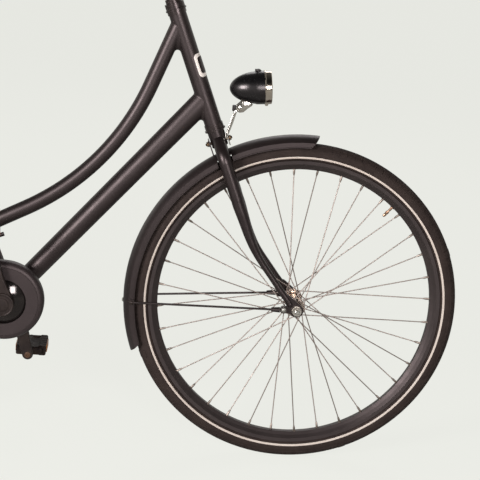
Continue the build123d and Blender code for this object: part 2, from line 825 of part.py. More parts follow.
def headlamp_bracket():
    # A flat strip from the crown bolt to a hinge, and a folded chrome seat under the lamp.
    strip_half_width = 7.0
    points = [
        steer(crown_bolt_along - 6, 17.6),
        steer(crown_bolt_along + 9, 17.6),
        Vector(338.5, 0, 649.0),
        bracket_joint + Vector(-0.5, 0, -4),
    ]
    path = FilletPolyline(*points, radius=[6, 12])
    section = Plane(origin=path @ 0, x_dir=leftward, z_dir=path % 0) * Rectangle(2 * strip_half_width, 2.0)
    strip = sweep(section, path=path)
    strip += cross_rod(bracket_joint, 5.0, -strip_half_width, strip_half_width)
    cheek = make_hull(
        [
            (Pos(bracket_joint.X, bracket_joint.Z) * Circle(5.6)).edge(),
            (Pos(352.5, 685.0) * Circle(3.0)).edge(),
            (Pos(368.5, 679.5) * Circle(3.0)).edge(),
        ]
    )
    for side in both_sides:
        plane = Plane(origin=(0, side * strip_half_width, 0), x_dir=forward, z_dir=(0, -1, 0))
        strip += extrude(plane * cheek, -side * 1.8)
    seat_face = Plane(origin=(360.0, 0, 680.5), x_dir=(0, 1, 0), z_dir=(0.3, 0, 0.954))
    strip += seat_face * Box(2 * strip_half_width, 20, 5)
    strip += cross_rod(bracket_joint, 3.0, -14, 14)
    strip += hex_nut(bracket_joint, -1, strip_half_width + 1.8, 3.6, 9.0)
    strip -= bullet(0, lamp_shell_length - 4, lamp_radius, 4)
    return strip - rod(steer(crown_bolt_along, 10), steer(crown_bolt_along, 40), 3.0)


pieces["headlamp_shell"] = headlamp_shell()
pieces["headlamp_bezel"] = headlamp_bezel()
pieces["headlamp_lens"] = headlamp_lens()
pieces["headlamp_reflector"] = headlamp_reflector()
pieces["headlamp_bracket"] = headlamp_bracket()


# ---------------------------------------------------------------- drive

def case_outline(inset):
    front = Pos(crank_axle.X, crank_axle.Z) * Circle(case_front_radius - inset)
    rear = Pos(rear_axle.X, rear_axle.Z) * Circle(case_rear_radius - inset)
    return make_hull([front.edge(), rear.edge()])


def case_slab(inset, near, far):
    plane = Plane(origin=(0, -far, 0), x_dir=forward, z_dir=(0, -1, 0))
    return extrude(plane * case_outline(inset), near - far)


def chain_case():
    shell = case_slab(0, case_outer, case_inner)
    shell = fillet(shell.faces().sort_by(Axis.Y)[0].edges(), case_shoulder)
    shell = fillet(shell.faces().sort_by(Axis.Y)[-1].edges(), case_back_shoulder)
    raised = case_slab(case_shoulder - 1.0, case_outer + 0.9, case_outer - 3)
    raised_edges = raised.faces().sort_by(Axis.Y)[0].edges()
    shell += chamfer(raised_edges, 0.7)
    hollow = case_slab(case_wall, case_outer - case_wall, case_inner + case_wall)
    hollow = fillet(hollow.faces().sort_by(Axis.Y)[0].edges(), case_shoulder - case_wall)
    shell -= fillet(hollow.faces().sort_by(Axis.Y)[-1].edges(), case_back_shoulder - case_wall)
    shell -= cross_rod(crank_axle, case_hole_radius, -70, -50)
    shell -= cross_rod(crank_axle, shell_radius + 2, -50, -20)
    shell -= cross_rod(rear_axle, 40.0, -50, -20)
    shell -= cross_rod(rear_axle, 14.0, -70, -50)
    return shell


def cranked(side):
    # The crank arm's end, ahead of straight down on the left and behind straight up on the right.
    turn = radians(crank_lead)
    return Vector(
        crank_axle.X + side * crank_length * sin(turn),
        0,
        crank_axle.Z - side * crank_length * cos(turn),
    )


def crank_arm(side):
    end = cranked(side)
    waist = crank_axle + (end - crank_axle) * crank_waist_share
    plane = Plane(origin=(0, side * crank_inner, 0), x_dir=forward, z_dir=(0, -1, 0))
    root_circle = (Pos(crank_axle.X, crank_axle.Z) * Circle(crank_boss_radius)).edge()
    waist_circle = (Pos(waist.X, waist.Z) * Circle(crank_waist_radius)).edge()
    end_circle = (Pos(end.X, end.Z) * Circle(crank_end_radius)).edge()
    sketch = make_hull([root_circle, waist_circle]) + make_hull([waist_circle, end_circle])
    arm = extrude(plane * sketch, -side * (crank_outer - crank_inner))
    arm = fillet(arm.edges().filter_by(GeomType.LINE), 3.0)
    boss_start = 57.5 if side < 0 else 40.0
    arm += cross_rod(crank_axle, crank_boss_radius, side * boss_start, side * (crank_outer + 1))
    arm -= cross_rod(crank_axle, spindle_radius, side * 20, side * 74)
    return arm - cross_rod(end, pedal_spindle_radius + shaft_clearance, side * 60, side * 90)


def chainring():
    # The toothed ring and the domed cover that fills the hole in the case.
    tooth_count = 32
    root = cross_rod(crank_axle, 61.0, -49.5, -46.5)
    arch = Spline((-58.8, 0), (-56.6, 32), (-50.5, 58), tangents=[(0, 1), (1, 1.6)])
    edge = Polyline((-50.5, 58), (-49, 58), (-49, 0), (-58.8, 0))
    dome = turned(arch + edge, crank_axle, leftward)
    teeth = []
    for index in range(tooth_count):
        angle = 360.0 * index / tooth_count
        plane = ring_section(crank_axle, angle)
        low = plane.from_local_coords(Vector(59.5, -49.0, 0))
        high = plane.from_local_coords(Vector(59.5, -47.0, 0))
        tooth = Plane(origin=low, x_dir=plane.x_dir, z_dir=high - low) * extrude(
            Polygon((0, -3.0), (7.0, -1.0), (7.0, 1.0), (0, 3.0), align=None), (high - low).length
        )
        teeth.append(tooth)
    ring = root + teeth + dome
    hollow = cross_rod(crank_axle, spindle_radius, -70, -30)
    boss_room = cross_rod(crank_axle, 22.0, -70, -57.5)
    return ring - hollow - boss_room


def pedal(side):
    # A barrel on the spindle, two end plates and two grooved tread blocks with open slots between.
    # The block frame hangs a little ahead of the spindle.
    end = cranked(side)
    middle = side * (pedal_inner + pedal_outer) / 2
    width = pedal_outer - pedal_inner
    body = cross_rod(end, pedal_spindle_radius, side * (crank_inner + 1), side * (pedal_outer - 6))
    body += cross_rod(end, pedal_barrel_radius, side * (pedal_inner - 4), side * (pedal_outer + 1.5))
    for plate_side in (pedal_inner + pedal_plate / 2, pedal_outer - pedal_plate / 2):
        plate = Box(pedal_length, pedal_plate, pedal_thickness - 4)
        plate = fillet(plate.edges().filter_by(Axis.Y), 7.0)
        body += Pos(end.X + pedal_offset, side * plate_side, end.Z) * plate
    for direction in both_sides:
        block = Box(pedal_tread, width - pedal_plate, pedal_thickness)
        block = fillet(block.edges().filter_by(Axis.Y), 3.5)
        for groove in range(-2, 3):
            slot = Box(pedal_tread + 20, 3.0, pedal_thickness + 20)
            core = Box(pedal_tread + 30, 4.0, pedal_thickness - 4)
            block -= Pos(0, groove * width / 6, 0) * (slot - core)
        reach = direction * (pedal_length - pedal_tread) / 2
        body += Pos(end.X + pedal_offset + reach, middle, end.Z) * block
    return body


pieces["chain_case"] = chain_case()
for stay_node in ("chain_stays", "seat_stays", "rear_mudguard_stays"):
    pieces["chain_case"] -= pieces[stay_node]
pieces["crank_spindle"] = cross_rod(crank_axle, spindle_radius, -74, 74)
pieces["crank_right"] = crank_arm(-1)
pieces["crank_left"] = crank_arm(1)
pieces["chainring"] = chainring()
pieces["pedal_right"] = pedal(-1)
pieces["pedal_left"] = pedal(1)


# ---------------------------------------------------------------- carrier, stand and fittings

deck_z = 692.0
deck_front_x = -272.0
deck_rear_x = -628.0
deck_half_width = 58.0
deck_rod_radius = 5.0
leg_side = 69.0


def rear_carrier():
    corner_z = deck_z
    loop = [
        Vector(deck_front_x, -deck_half_width, corner_z),
        Vector(deck_rear_x, -deck_half_width, corner_z),
        Vector(deck_rear_x, deck_half_width, corner_z),
        Vector(deck_front_x, deck_half_width, corner_z),
    ]
    body = bent_rod(loop, 26, deck_rod_radius)
    for x in (deck_front_x - 4, -395.0, -512.0):
        body += cross_rod(Vector(x, 0, corner_z), 4.0, -deck_half_width, deck_half_width)
    plate_length = deck_front_x - deck_rear_x
    plate_x = (deck_front_x + deck_rear_x) / 2
    body += Pos(plate_x, 0, corner_z + 3.5) * Box(plate_length, 34, 3)
    for side in both_sides:
        foot = Vector(rear_axle.X, side * leg_side, rear_axle.Z)
        top = Vector(-505.0, side * deck_half_width, corner_z)
        leg = rod(foot, top, 4.0)
        leg += cross_rod(rear_axle, 11.0, side * (leg_side - 3.0), side * (leg_side + 3.0))
        body += leg
        strut_foot = seat(330, -50, side * 44)
        body += rod(strut_foot, Vector(deck_front_x - 4, side * (deck_half_width - 3), corner_z), 3.5)
    tail = Pos(deck_rear_x - deck_rod_radius - 0.5, 0, corner_z - 12) * Box(3, 76, 40)
    for side in both_sides:
        hole = Vector(deck_rear_x, side * 25, corner_z - 22)
        tail -= rod(hole - forward * 30, hole + forward * 30, 2.75)
    body += tail
    body -= pieces["seat_stays"]
    return body - cross_rod(rear_axle, rear_axle_radius + 0.02, -100, 100)


def rear_lamp():
    lamp = Pos(deck_rear_x - deck_rod_radius - 2 - 9, 0, deck_z - 6) * Box(18, 68, 22)
    return fillet(lamp.edges().filter_by(Axis.X), 7)


def rear_stand():
    foot_ahead = 28.0
    pivot_side = 74.2
    pivot_wall = 4.0
    foot_side = 100.0
    bar = Vector(rear_axle.X + foot_ahead, 0, 10.5)
    body = cross_rod(bar, 5.5, -foot_side + 6, foot_side - 6)
    for side in both_sides:
        shoulder = rear_axle + Vector(8, side * (pivot_side + 2), -62)
        foot = Vector(bar.X, side * foot_side, 6.0)
        lower = Vector(bar.X - 2, side * (foot_side - 6), 34.0)
        eye = hull_plate(side, pivot_side, pivot_wall, shoulder)
        leg = bent_rod([shoulder + Vector(-1, 0, 12), shoulder + Vector(3, side * 3, -40), lower, foot], [40, 20], 6.0)
        pad = Pos(foot.X, foot.Y, 4.0) * Box(46, 14, 8)
        pad = fillet(pad.edges().filter_by(Axis.Y).group_by(Axis.Z)[-1], 3.5)
        body += eye + leg + pad
    floor_cut = Pos(bar.X, 0, -20) * Box(200, 400, 40)
    return body - floor_cut - cross_rod(rear_axle, rear_axle_radius + shaft_clearance, -100, 100)


def hull_plate(side, inner, wall, shoulder):
    plane = Plane(origin=(0, side * inner, 0), x_dir=forward, z_dir=(0, -1, 0))
    sketch = make_hull(
        [
            (Pos(rear_axle.X, rear_axle.Z) * Circle(12)).edge(),
            (Pos(shoulder.X, shoulder.Z) * Circle(9)).edge(),
        ]
    )
    return extrude(plane * sketch, -side * wall)


def brake_arm():
    # The coaster brake's arm: a cone on the axle and a flat arm clipped to the left chain stay.
    clip_share = 0.36
    stay_rear = rear_axle + Vector(55, 48.5, -7.0)
    stay_front = crank_axle + Vector(-85, 34.5, 10.8)
    stay_run = (stay_front - stay_rear).normalized()
    clip = stay_rear + (stay_front - stay_rear) * clip_share
    arm_end = clip + Vector(0, 0, -chain_stay_radius - 8.5)
    plane = Plane(origin=(0, brake_side, 0), x_dir=forward, z_dir=(0, -1, 0))
    sketch = make_hull(
        [
            (Pos(rear_axle.X, rear_axle.Z) * Circle(19)).edge(),
            (Pos(arm_end.X, arm_end.Z) * Circle(7)).edge(),
        ]
    )
    arm = extrude(plane * sketch, -brake_wall)
    arm += rod(
        rear_axle + leftward * (brake_side + brake_wall),
        rear_axle + leftward * (brake_side + 9),
        17.0,
        12.0,
    )
    arm += cross_rod(rear_axle, 9.0, brake_side + 8, dropout_inner)
    arm += rod(clip - stay_run * 6, clip + stay_run * 6, chain_stay_radius + 2)
    ear = Pos(clip.X, brake_side + 4.5, clip.Z - chain_stay_radius - 6) * Box(12, 9, 15)
    arm += ear
    arm += cross_rod(arm_end, 3.2, brake_side - 3, brake_side + 12)
    arm -= cross_rod(rear_axle, rear_axle_radius, 20, 70)
    arm -= pieces["seat_stays"]
    return arm - pieces["chain_stays"]


pieces["rear_carrier"] = rear_carrier()
pieces["rear_lamp"] = rear_lamp()
pieces["rear_stand"] = rear_stand()
pieces["brake_arm"] = brake_arm()

os.makedirs("parts", exist_ok=True)
for name, piece in pieces.items():
    export_step(piece, "parts/" + name + ".step")
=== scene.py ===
import bpy
import math
from mathutils import Matrix, Vector


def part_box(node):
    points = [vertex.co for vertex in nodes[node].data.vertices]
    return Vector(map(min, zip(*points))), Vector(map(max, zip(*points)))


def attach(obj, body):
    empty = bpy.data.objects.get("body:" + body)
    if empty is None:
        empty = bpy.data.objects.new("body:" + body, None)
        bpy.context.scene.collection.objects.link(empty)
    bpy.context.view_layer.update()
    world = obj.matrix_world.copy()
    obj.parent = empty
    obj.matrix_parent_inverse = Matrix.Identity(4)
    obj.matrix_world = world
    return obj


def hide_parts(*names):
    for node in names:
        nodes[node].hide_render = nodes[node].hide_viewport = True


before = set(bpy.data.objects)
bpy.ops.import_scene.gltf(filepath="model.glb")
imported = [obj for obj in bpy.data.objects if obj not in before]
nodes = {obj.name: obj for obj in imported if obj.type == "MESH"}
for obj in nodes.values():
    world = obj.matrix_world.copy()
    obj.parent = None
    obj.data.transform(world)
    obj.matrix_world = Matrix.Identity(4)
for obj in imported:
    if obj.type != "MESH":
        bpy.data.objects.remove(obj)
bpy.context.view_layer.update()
scene = bpy.context.scene
print("frame loaded")


# places taken from the CAD pieces

def middleOf(node):
    low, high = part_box(node)
    return (low + high) / 2


wheelCentres = {"front": middleOf("front_tyre"), "rear": middleOf("rear_tyre")}
frontCentre = wheelCentres["front"]
crankCentre = middleOf("crank_spindle")
headLean = math.radians(68)
headUp = Vector((-math.cos(headLean), 0, math.sin(headLean)))
headAhead = Vector((math.sin(headLean), 0, math.cos(headLean)))
headFoot = Vector((frontCentre.x - 0.044, 0, frontCentre.z))
leftward = Vector((0, 1, 0))


def onHead(along, ahead=0, side=0):
    return headFoot + headUp * along + headAhead * ahead + leftward * side


def turnOf(*sides):
    # the turn that takes X, Y and Z to the three sides
    return Matrix(sides).transposed().to_4x4()


def aroundAxle(centre, radius, degrees, side=0):
    turn = math.radians(degrees)
    return centre + Vector((radius * math.cos(turn), side, radius * math.sin(turn)))


# camera

camera = {
    "place": (0.17086, -2.62611, 1.08311),
    "right": (0.99542, -0.05478, 0.07834),
    "up": (-0.06244, 0.24798, 0.96675),
    "back": (-0.07238, -0.96722, 0.24342),
    "lens": 109.1,
}


def setCamera():
    lensData = bpy.data.cameras.new("camera")
    lensData.lens = camera["lens"]
    lensData.sensor_width = 36
    lensData.clip_end = 100
    eye = bpy.data.objects.new("camera", lensData)
    scene.collection.objects.link(eye)
    turn = turnOf(*(camera[side] for side in ("right", "up", "back")))
    eye.matrix_world = Matrix.Translation(camera["place"]) @ turn
    scene.camera = eye


setCamera()


# nodes for materials

def freshMaterial(name):
    finish = bpy.data.materials.new(name)
    finish.use_nodes = True
    tree = finish.node_tree
    return finish, tree, tree.nodes["Principled BSDF"]


def addNode(tree, kind, inputs=None, **settings):
    node = tree.nodes.new(kind)
    for key, value in settings.items():
        setattr(node, key, value)
    for key, value in (inputs or {}).items():
        if isinstance(value, bpy.types.NodeSocket):
            tree.links.new(value, node.inputs[key])
        else:
            node.inputs[key].default_value = value
    return node


def setInputs(node, values):
    for key, value in values.items():
        node.inputs[key].default_value = value


def linkInputs(tree, shader, colour, rough, normal):
    for key, value in (("Base Color", colour), ("Roughness", rough), ("Normal", normal)):
        if value is not None:
            tree.links.new(value, shader.inputs[key])


def placeOf(tree):
    return addNode(tree, "ShaderNodeTexCoord").outputs["Object"]


def noiseOf(tree, place, scale, detail=3, roughness=0.55):
    values = {"Vector": place, "Scale": scale, "Detail": detail, "Roughness": roughness}
    return addNode(tree, "ShaderNodeTexNoise", values).outputs["Fac"]


def rangeOf(tree, value, fromLow, fromHigh, toLow, toHigh):
    values = {"Value": value, "From Min": fromLow, "From Max": fromHigh, "To Min": toLow, "To Max": toHigh}
    return addNode(tree, "ShaderNodeMapRange", values).outputs["Result"]


def wide(colour):
    return (*colour, 1) if not isinstance(colour, bpy.types.NodeSocket) else colour


def mixOf(tree, share, first, second):
    values = {0: share, 6: wide(first), 7: wide(second)}
    return addNode(tree, "ShaderNodeMix", values, data_type="RGBA").outputs[2]


def mathOf(tree, operation, first, second=0):
    return addNode(tree, "ShaderNodeMath", {0: first, 1: second}, operation=operation).outputs[0]


def bumpOf(tree, height, strength, distance, under=None):
    values = {"Height": height, "Strength": strength, "Distance": distance}
    if under is not None:
        values["Normal"] = under
    return addNode(tree, "ShaderNodeBump", values).outputs["Normal"]


def spotsOf(tree, place, spots, ragged, scale):
    # one where the surface is within a ragged radius of any of the spots
    edge = noiseOf(tree, place, scale, 4, 0.7)
    total = None
    for x, y, z, radius in spots:
        gap = addNode(tree, "ShaderNodeVectorMath", {0: place, 1: (x, y, z)}, operation="DISTANCE")
        wander = mathOf(tree, "MULTIPLY", mathOf(tree, "SUBTRACT", edge, 0.5), ragged)
        loose = mathOf(tree, "ADD", gap.outputs["Value"], wander)
        spot = rangeOf(tree, loose, radius, radius * 0.6, 0, 1)
        total = spot if total is None else mathOf(tree, "MAXIMUM", total, spot)
    return total


# finishes: a coated surface with uneven colour and gloss, grain, smudges and scratches

usual = {
    "speck": 900, "speckShare": 0.35, "patchShare": 0.6, "grainDepth": 0.1, "metallic": 0,
    "specular": 0.5, "tint": (1, 1, 1), "coat": 0, "coatRoughness": 0.2,
}
darkPaint = {"specular": 0.62, "tint": (1, 0.8, 0.8)}
softBlack = {"specular": 0.2}
bareMetal = {"metallic": 1}


def surface(colour, second, patch, roughness, **others):
    # two tones in ten-thousandths, the scale of their patches, the range of the roughness, and the rest
    colour, second = ([part / 10000 for part in tone] for tone in (colour, second))
    main = {"colour": colour, "second": second, "patch": patch, "roughness": roughness}
    return {**usual, **main, **others}


def makeFinish(name, values):
    finish, tree, shader = freshMaterial(name)
    place = placeOf(tree)
    patches = rangeOf(tree, noiseOf(tree, place, values["patch"], 4), 0.35, 0.7, 0, values["patchShare"])
    specks = rangeOf(tree, noiseOf(tree, place, values["speck"], 2), 0.6, 0.72, 0, values["speckShare"])
    colour = mixOf(tree, mathOf(tree, "MAXIMUM", patches, specks), values["colour"], values["second"])
    clouds = noiseOf(tree, place, values["patch"] * 2.3, 5, 0.65)
    rough = rangeOf(tree, clouds, 0.3, 0.7, *values["roughness"])
    normal = None
    if "grain" in values:
        normal = bumpOf(tree, noiseOf(tree, place, values["grain"], 2), values["grainDepth"], 0.0004)
    if "scratches" in values:
        stretch = {"Vector": place, "Scale": values["scratches"], "Rotation": (0.4, 0.3, 0.2)}
        stretched = addNode(tree, "ShaderNodeMapping", stretch).outputs["Vector"]
        lines = rangeOf(tree, noiseOf(tree, stretched, 1, 3, 0.6), 0.62, 0.68, 0, 1)
        colour = mixOf(tree, mathOf(tree, "MULTIPLY", lines, 0.35), colour, values["second"])
        normal = bumpOf(tree, mathOf(tree, "SUBTRACT", 1, lines), 0.12, 0.0002, normal)
    if "chips" in values:
        bare = spotsOf(tree, place, values["chips"], 0.004, 420)
        colour = mixOf(tree, bare, colour, values["chipColour"])
        normal = bumpOf(tree, mathOf(tree, "SUBTRACT", 1, bare), 0.5, 0.0003, normal)
    linkInputs(tree, shader, colour, rough, normal)
    setInputs(shader, {
        "Metallic": values["metallic"], "Specular IOR Level": values["specular"],
        "Specular Tint": wide(values["tint"]), "Coat Weight": values["coat"],
        "Coat Roughness": values["coatRoughness"],
    })
    return finish


finishes = {
    "framePaint": surface(
        (70, 48, 47), (135, 96, 92), 14, (0.38, 0.47), **darkPaint, grain=1400, grainDepth=0.045,
        chips=[(0.2471, -0.02, 0.6295, 0.0036), (0.2585, -0.02, 0.6478, 0.0034)],
        chipColour=(0.3, 0.11, 0.045),
    ),
    "guardPaint": surface(
        (85, 59, 58), (142, 104, 100), 11, (0.38, 0.48), **darkPaint, speck=700, grain=1100,
        scratches=(900, 900, 30),
    ),
    "forkPaint": surface(
        (66, 46, 46), (125, 92, 90), 17, (0.31, 0.39), **darkPaint, grain=1400, grainDepth=0.08,
    ),
    "barPaint": surface(
        (70, 48, 47), (130, 94, 90), 22, (0.33, 0.44), **darkPaint, speck=800, grain=1300, grainDepth=0.08,
    ),
    "headsetPaint": surface(
        (95, 70, 66), (220, 165, 148), 60, (0.24, 0.36), **darkPaint, speck=500, grain=1200,
    ),
    "stayPaint": surface((80, 62, 60), (220, 170, 150), 40, (0.3, 0.45), **darkPaint, speck=600, grain=1500),
    "casePlastic": surface(
        (150, 108, 112), (250, 188, 190), 9, (0.42, 0.52), **darkPaint, speck=500, grain=2200,
        grainDepth=0.16, scratches=(260, 260, 900),
    ),
    "domeGloss": surface(
        (45, 36, 36), (120, 88, 80), 30, (0.09, 0.14), speck=700, specular=0.62, tint=(1, 0.88, 0.86),
    ),
    "crankPaint": surface(
        (110, 80, 72), (340, 245, 195), 45, (0.38, 0.5), speck=420, grain=900, grainDepth=0.14,
        scratches=(600, 600, 60), specular=0.34, tint=(1, 0.8, 0.8),
    ),
    "pedalRubber": surface(
        (70, 48, 42), (300, 185, 125), 55, (0.55, 0.8), speck=320, speckShare=0.6, grain=700, grainDepth=0.3,
        specular=0.24, tint=(1, 0.8, 0.8),
    ),
    "lampBlack": surface((28, 27, 32), (50, 48, 52), 20, (0.25, 0.31), specular=0.62, tint=(1, 0.88, 0.88)),
    "chrome": surface(
        (7000, 6600, 6200), (4400, 3600, 2800), 60, (0.07, 0.17), **bareMetal, patchShare=0.35,
        speckShare=0.5, scratches=(700, 700, 90),
    ),
    # the bezel's chrome: its big brown patches are a painted reflection of warm tan surroundings; the pale
    # tone is the chrome itself
    "bezelChromeWithPaintedReflection": surface(
        (7400, 6600, 5800), (4000, 2900, 2000), 34, (0.06, 0.14), **bareMetal, speck=700, patchShare=0.55,
        speckShare=0.4, scratches=(700, 700, 90),
    ),
    "hubChrome": surface(
        (6000, 5000, 4300), (3600, 2500, 1800), 80, (0.16, 0.32), **bareMetal, speck=700, patchShare=0.5,
        speckShare=0.5, scratches=(600, 90, 600),
    ),
    "zinc": surface(
        (4600, 4300, 3900), (2400, 1900, 1500), 130, (0.34, 0.48), **bareMetal, patchShare=0.5, grain=1500,
    ),
    "brass": surface((2000, 1350, 850), (700, 430, 280), 200, (0.2, 0.38), **bareMetal),
    "valveBrass": surface((6000, 3900, 2800), (2600, 1500, 800), 200, (0.2, 0.38), **bareMetal),
    "rustBrown": surface(
        (900, 400, 180), (200, 120, 90), 180, (0.45, 0.7), speck=700, grain=1300, grainDepth=0.3,
        specular=0.3,
    ),
    "spokeSteel": surface((4700, 3900, 3550), (3300, 2600, 2300), 70, (0.42, 0.55), **bareMetal),
    "nippleZinc": surface((3600, 3000, 2650), (2000, 1500, 1250), 160, (0.38, 0.52), **bareMetal),
    "brightSteel": surface(
        (6000, 5800, 5400), (3800, 3300, 2800), 220, (0.22, 0.36), **bareMetal, speck=1100, patchShare=0.4,
    ),
    "capBlack": surface(
        (180, 150, 150), (500, 420, 380), 180, (0.35, 0.5), **softBlack, grain=1800, grainDepth=0.08,
    ),
    "rimPaint": surface(
        (140, 108, 104), (250, 198, 185), 13, (0.38, 0.52), **darkPaint, speck=420, grain=1300,
        grainDepth=0.12,
    ),
    "springPaint": surface(
        (140, 120, 120), (450, 340, 290), 60, (0.2, 0.34), **softBlack, speck=500, grain=1500,
        grainDepth=0.08,
    ),
    "gripRubber": surface(
        (240, 190, 180), (500, 400, 370), 60, (0.62, 0.8), **softBlack, speck=800, grain=1700,
        grainDepth=0.25,
    ),
    "badgeCream": surface(
        (7400, 6550, 6150), (5800, 5000, 4600), 60, (0.28, 0.4), speck=1200, patchShare=0.4, grain=1800,
        grainDepth=0.05,
    ),
    "stripeCream": surface(
        (5400, 4550, 4050), (4000, 3150, 2700), 30, (0.35, 0.5), patchShare=0.45, grain=2600, grainDepth=0.2,
    ),
    "redPlastic": surface((4200, 120, 120), (3000, 80, 100), 60, (0.1, 0.2), coat=0.4, coatRoughness=0.05),
    "amberPlastic": surface((3600, 1200, 220), (1200, 520, 240), 90, (0.25, 0.5), speck=600, grain=900),
    "threadGrey": surface(
        (1000, 850, 780), (500, 420, 380), 200, (0.7, 0.85), speck=1500, grain=3500, grainDepth=0.4,
    ),
    "leatherPiping": surface(
        (140, 110, 110), (380, 300, 270), 60, (0.36, 0.5), **softBlack, grain=1600, grainDepth=0.2,
    ),
    "silverBowl": surface(
        (8800, 8800, 8700), (7000, 6900, 6700), 90, (0.04, 0.1), **bareMetal, patchShare=0.3,
    ),
}
looks = {name: makeFinish(name, values) for name, values in finishes.items()}


def makeTyreRubber(name, centre):
    # fine rings on the side walls, dust in the tread
    finish, tree, shader = freshMaterial(name)
    place = placeOf(tree)
    moved = addNode(tree, "ShaderNodeMapping", {"Vector": place, "Location": -centre}).outputs["Vector"]
    parts = addNode(tree, "ShaderNodeSeparateXYZ", {"Vector": moved}).outputs
    squares = [mathOf(tree, "MULTIPLY", parts[axis], parts[axis]) for axis in ("X", "Z")]
    radius = mathOf(tree, "SQRT", mathOf(tree, "ADD", *squares))
    rings = mathOf(tree, "SINE", mathOf(tree, "MULTIPLY", radius, 4200))
    dust = rangeOf(tree, noiseOf(tree, place, 26, 5, 0.7), 0.35, 0.75, 0, 0.7)
    crown = rangeOf(tree, radius, 0.296, 0.307, 0, 0.45)
    colour = mixOf(tree, mathOf(tree, "MAXIMUM", dust, crown), (0.015, 0.01, 0.009), (0.034, 0.0235, 0.02))
    fine = bumpOf(tree, noiseOf(tree, place, 1500, 3), 0.35, 0.0004)
    rough = rangeOf(tree, noiseOf(tree, place, 60, 4), 0.3, 0.7, 0.62, 0.85)
    linkInputs(tree, shader, colour, rough, bumpOf(tree, rings, 0.25, 0.0003, fine))
    setInputs(shader, {"Specular IOR Level": 0.3, "Specular Tint": (1, 0.8, 0.76, 1)})
    return finish


def makeLeather():
    finish, tree, shader = freshMaterial("saddleLeather")
    place = placeOf(tree)
    cells = {"Vector": place, "Scale": 620}
    grain = addNode(tree, "ShaderNodeTexVoronoi", cells, feature="DISTANCE_TO_EDGE")
    creases = rangeOf(tree, grain.outputs["Distance"], 0, 0.25, 0, 1)
    worn = rangeOf(tree, noiseOf(tree, place, 16, 4), 0.4, 0.7, 0, 0.8)
    colour = mixOf(tree, worn, (0.013, 0.0102, 0.0098), (0.03, 0.0235, 0.021))
    rough = rangeOf(tree, noiseOf(tree, place, 45, 4), 0.3, 0.7, 0.38, 0.56)
    soft = bumpOf(tree, noiseOf(tree, place, 60, 3), 0.15, 0.002)
    linkInputs(tree, shader, colour, rough, bumpOf(tree, creases, 0.4, 0.0004, soft))
    return finish


def makeLensGlass():
    finish, tree, shader = freshMaterial("lensGlass")
    place = placeOf(tree)
    bands = addNode(tree, "ShaderNodeTexWave", {"Vector": place, "Scale": 70}, bands_direction="Y")
    linkInputs(tree, shader, None, None, bumpOf(tree, bands.outputs["Fac"], 0.5, 0.001))
    clear = {"Base Color": (0.94, 0.96, 0.97, 1), "Roughness": 0.03, "Transmission Weight": 1, "IOR": 1.49}
    setInputs(shader, clear)
    return finish


for wheel, centre in wheelCentres.items():
    looks[wheel + "Rubber"] = makeTyreRubber(wheel + "Rubber", centre)
looks["leather"] = makeLeather()
looks["lensGlass"] = makeLensGlass()
print("finishes made")


# finish of each CAD piece that shows

nodeLooks = {
    "framePaint": [
        "head_tube", "down_tube", "top_tube", "seat_tube", "bottom_bracket", "chain_stays", "seat_stays",
        "rear_carrier", "rear_stand",
    ],
    "forkPaint": ["fork"],
    "guardPaint": ["front_mudguard", "rear_mudguard"],
    "barPaint": ["handlebar", "handlebar_stem"],
    "headsetPaint": ["headset_cups", "headset_nut"],
    "stayPaint": ["front_mudguard_stays", "rear_mudguard_stays"],
    "casePlastic": ["chain_case"],
    "domeGloss": ["chainring"],
    "silverBowl": ["headlamp_reflector"],
    "crankPaint": ["crank_left", "crank_right"],
    "pedalRubber": ["pedal_left", "pedal_right"],
    "lampBlack": ["headlamp_shell"],
    "chrome": ["bell", "seat_post", "seat_clamp"],
    "hubChrome": ["front_hub", "rear_hub"],
    "zinc": ["front_axle", "rear_axle", "crank_spindle", "brake_arm"],
    "spokeSteel": ["front_spokes", "rear_spokes"],
    "rimPaint": ["front_rim", "rear_rim"],
    "springPaint": ["saddle_frame"],
    "lensGlass": ["headlamp_lens"],
}


def dress(piece, look):
    piece.data.materials.clear()
    piece.data.materials.append(looks[look])


for look, names in nodeLooks.items():
    for name in names:
        dress(nodes[name], look)
print("CAD pieces dressed")


# modelling helpers: lengths in the piece dictionaries are millimetres

mm = 0.001


def leaveEdit():
    bpy.ops.object.mode_set(mode="OBJECT")


def clearChoice():
    if bpy.context.mode != "OBJECT":
        leaveEdit()
    bpy.ops.object.select_all(action="DESELECT")


def take(piece):
    clearChoice()
    piece.select_set(True)
    bpy.context.view_layer.objects.active = piece


def startShape(kind, **settings):
    clearChoice()
    getattr(bpy.ops.mesh, "primitive_" + kind + "_add")(**settings)
    return bpy.context.object


def editAll(piece, mode="VERT"):
    take(piece)
    bpy.ops.object.mode_set(mode="EDIT")
    bpy.ops.mesh.select_mode(type=mode)
    bpy.ops.mesh.select_all(action="SELECT")


def choose(piece, test, mode="FACE"):
    # opens the piece for editing with only the faces or edges chosen that pass the test
    editAll(piece, mode)
    bpy.ops.mesh.select_all(action="DESELECT")
    leaveEdit()
    parts = piece.data.polygons if mode == "FACE" else piece.data.edges
    for part in parts:
        part.select = test(part)
    bpy.ops.object.mode_set(mode="EDIT")


def bevelAlong(piece, axis, offset, segments):
    # rounds the edges that run along one axis
    def runsAlong(edge):
        first, second = (piece.data.vertices[index].co for index in edge.vertices)
        return abs((second - first).normalized()[axis]) > 0.9

    choose(piece, runsAlong, "EDGE")
    bpy.ops.mesh.bevel(offset=offset * mm, segments=segments)
    leaveEdit()


def insetChosen(thickness, depth, each=False):
    bpy.ops.mesh.inset(thickness=thickness * mm, depth=depth * mm, use_individual=each)


def insetFaces(piece, test, *insets, each=False):
    # each inset is a thickness and a depth
    choose(piece, test)
    for inset in insets:
        insetChosen(*inset, each)
    leaveEdit()


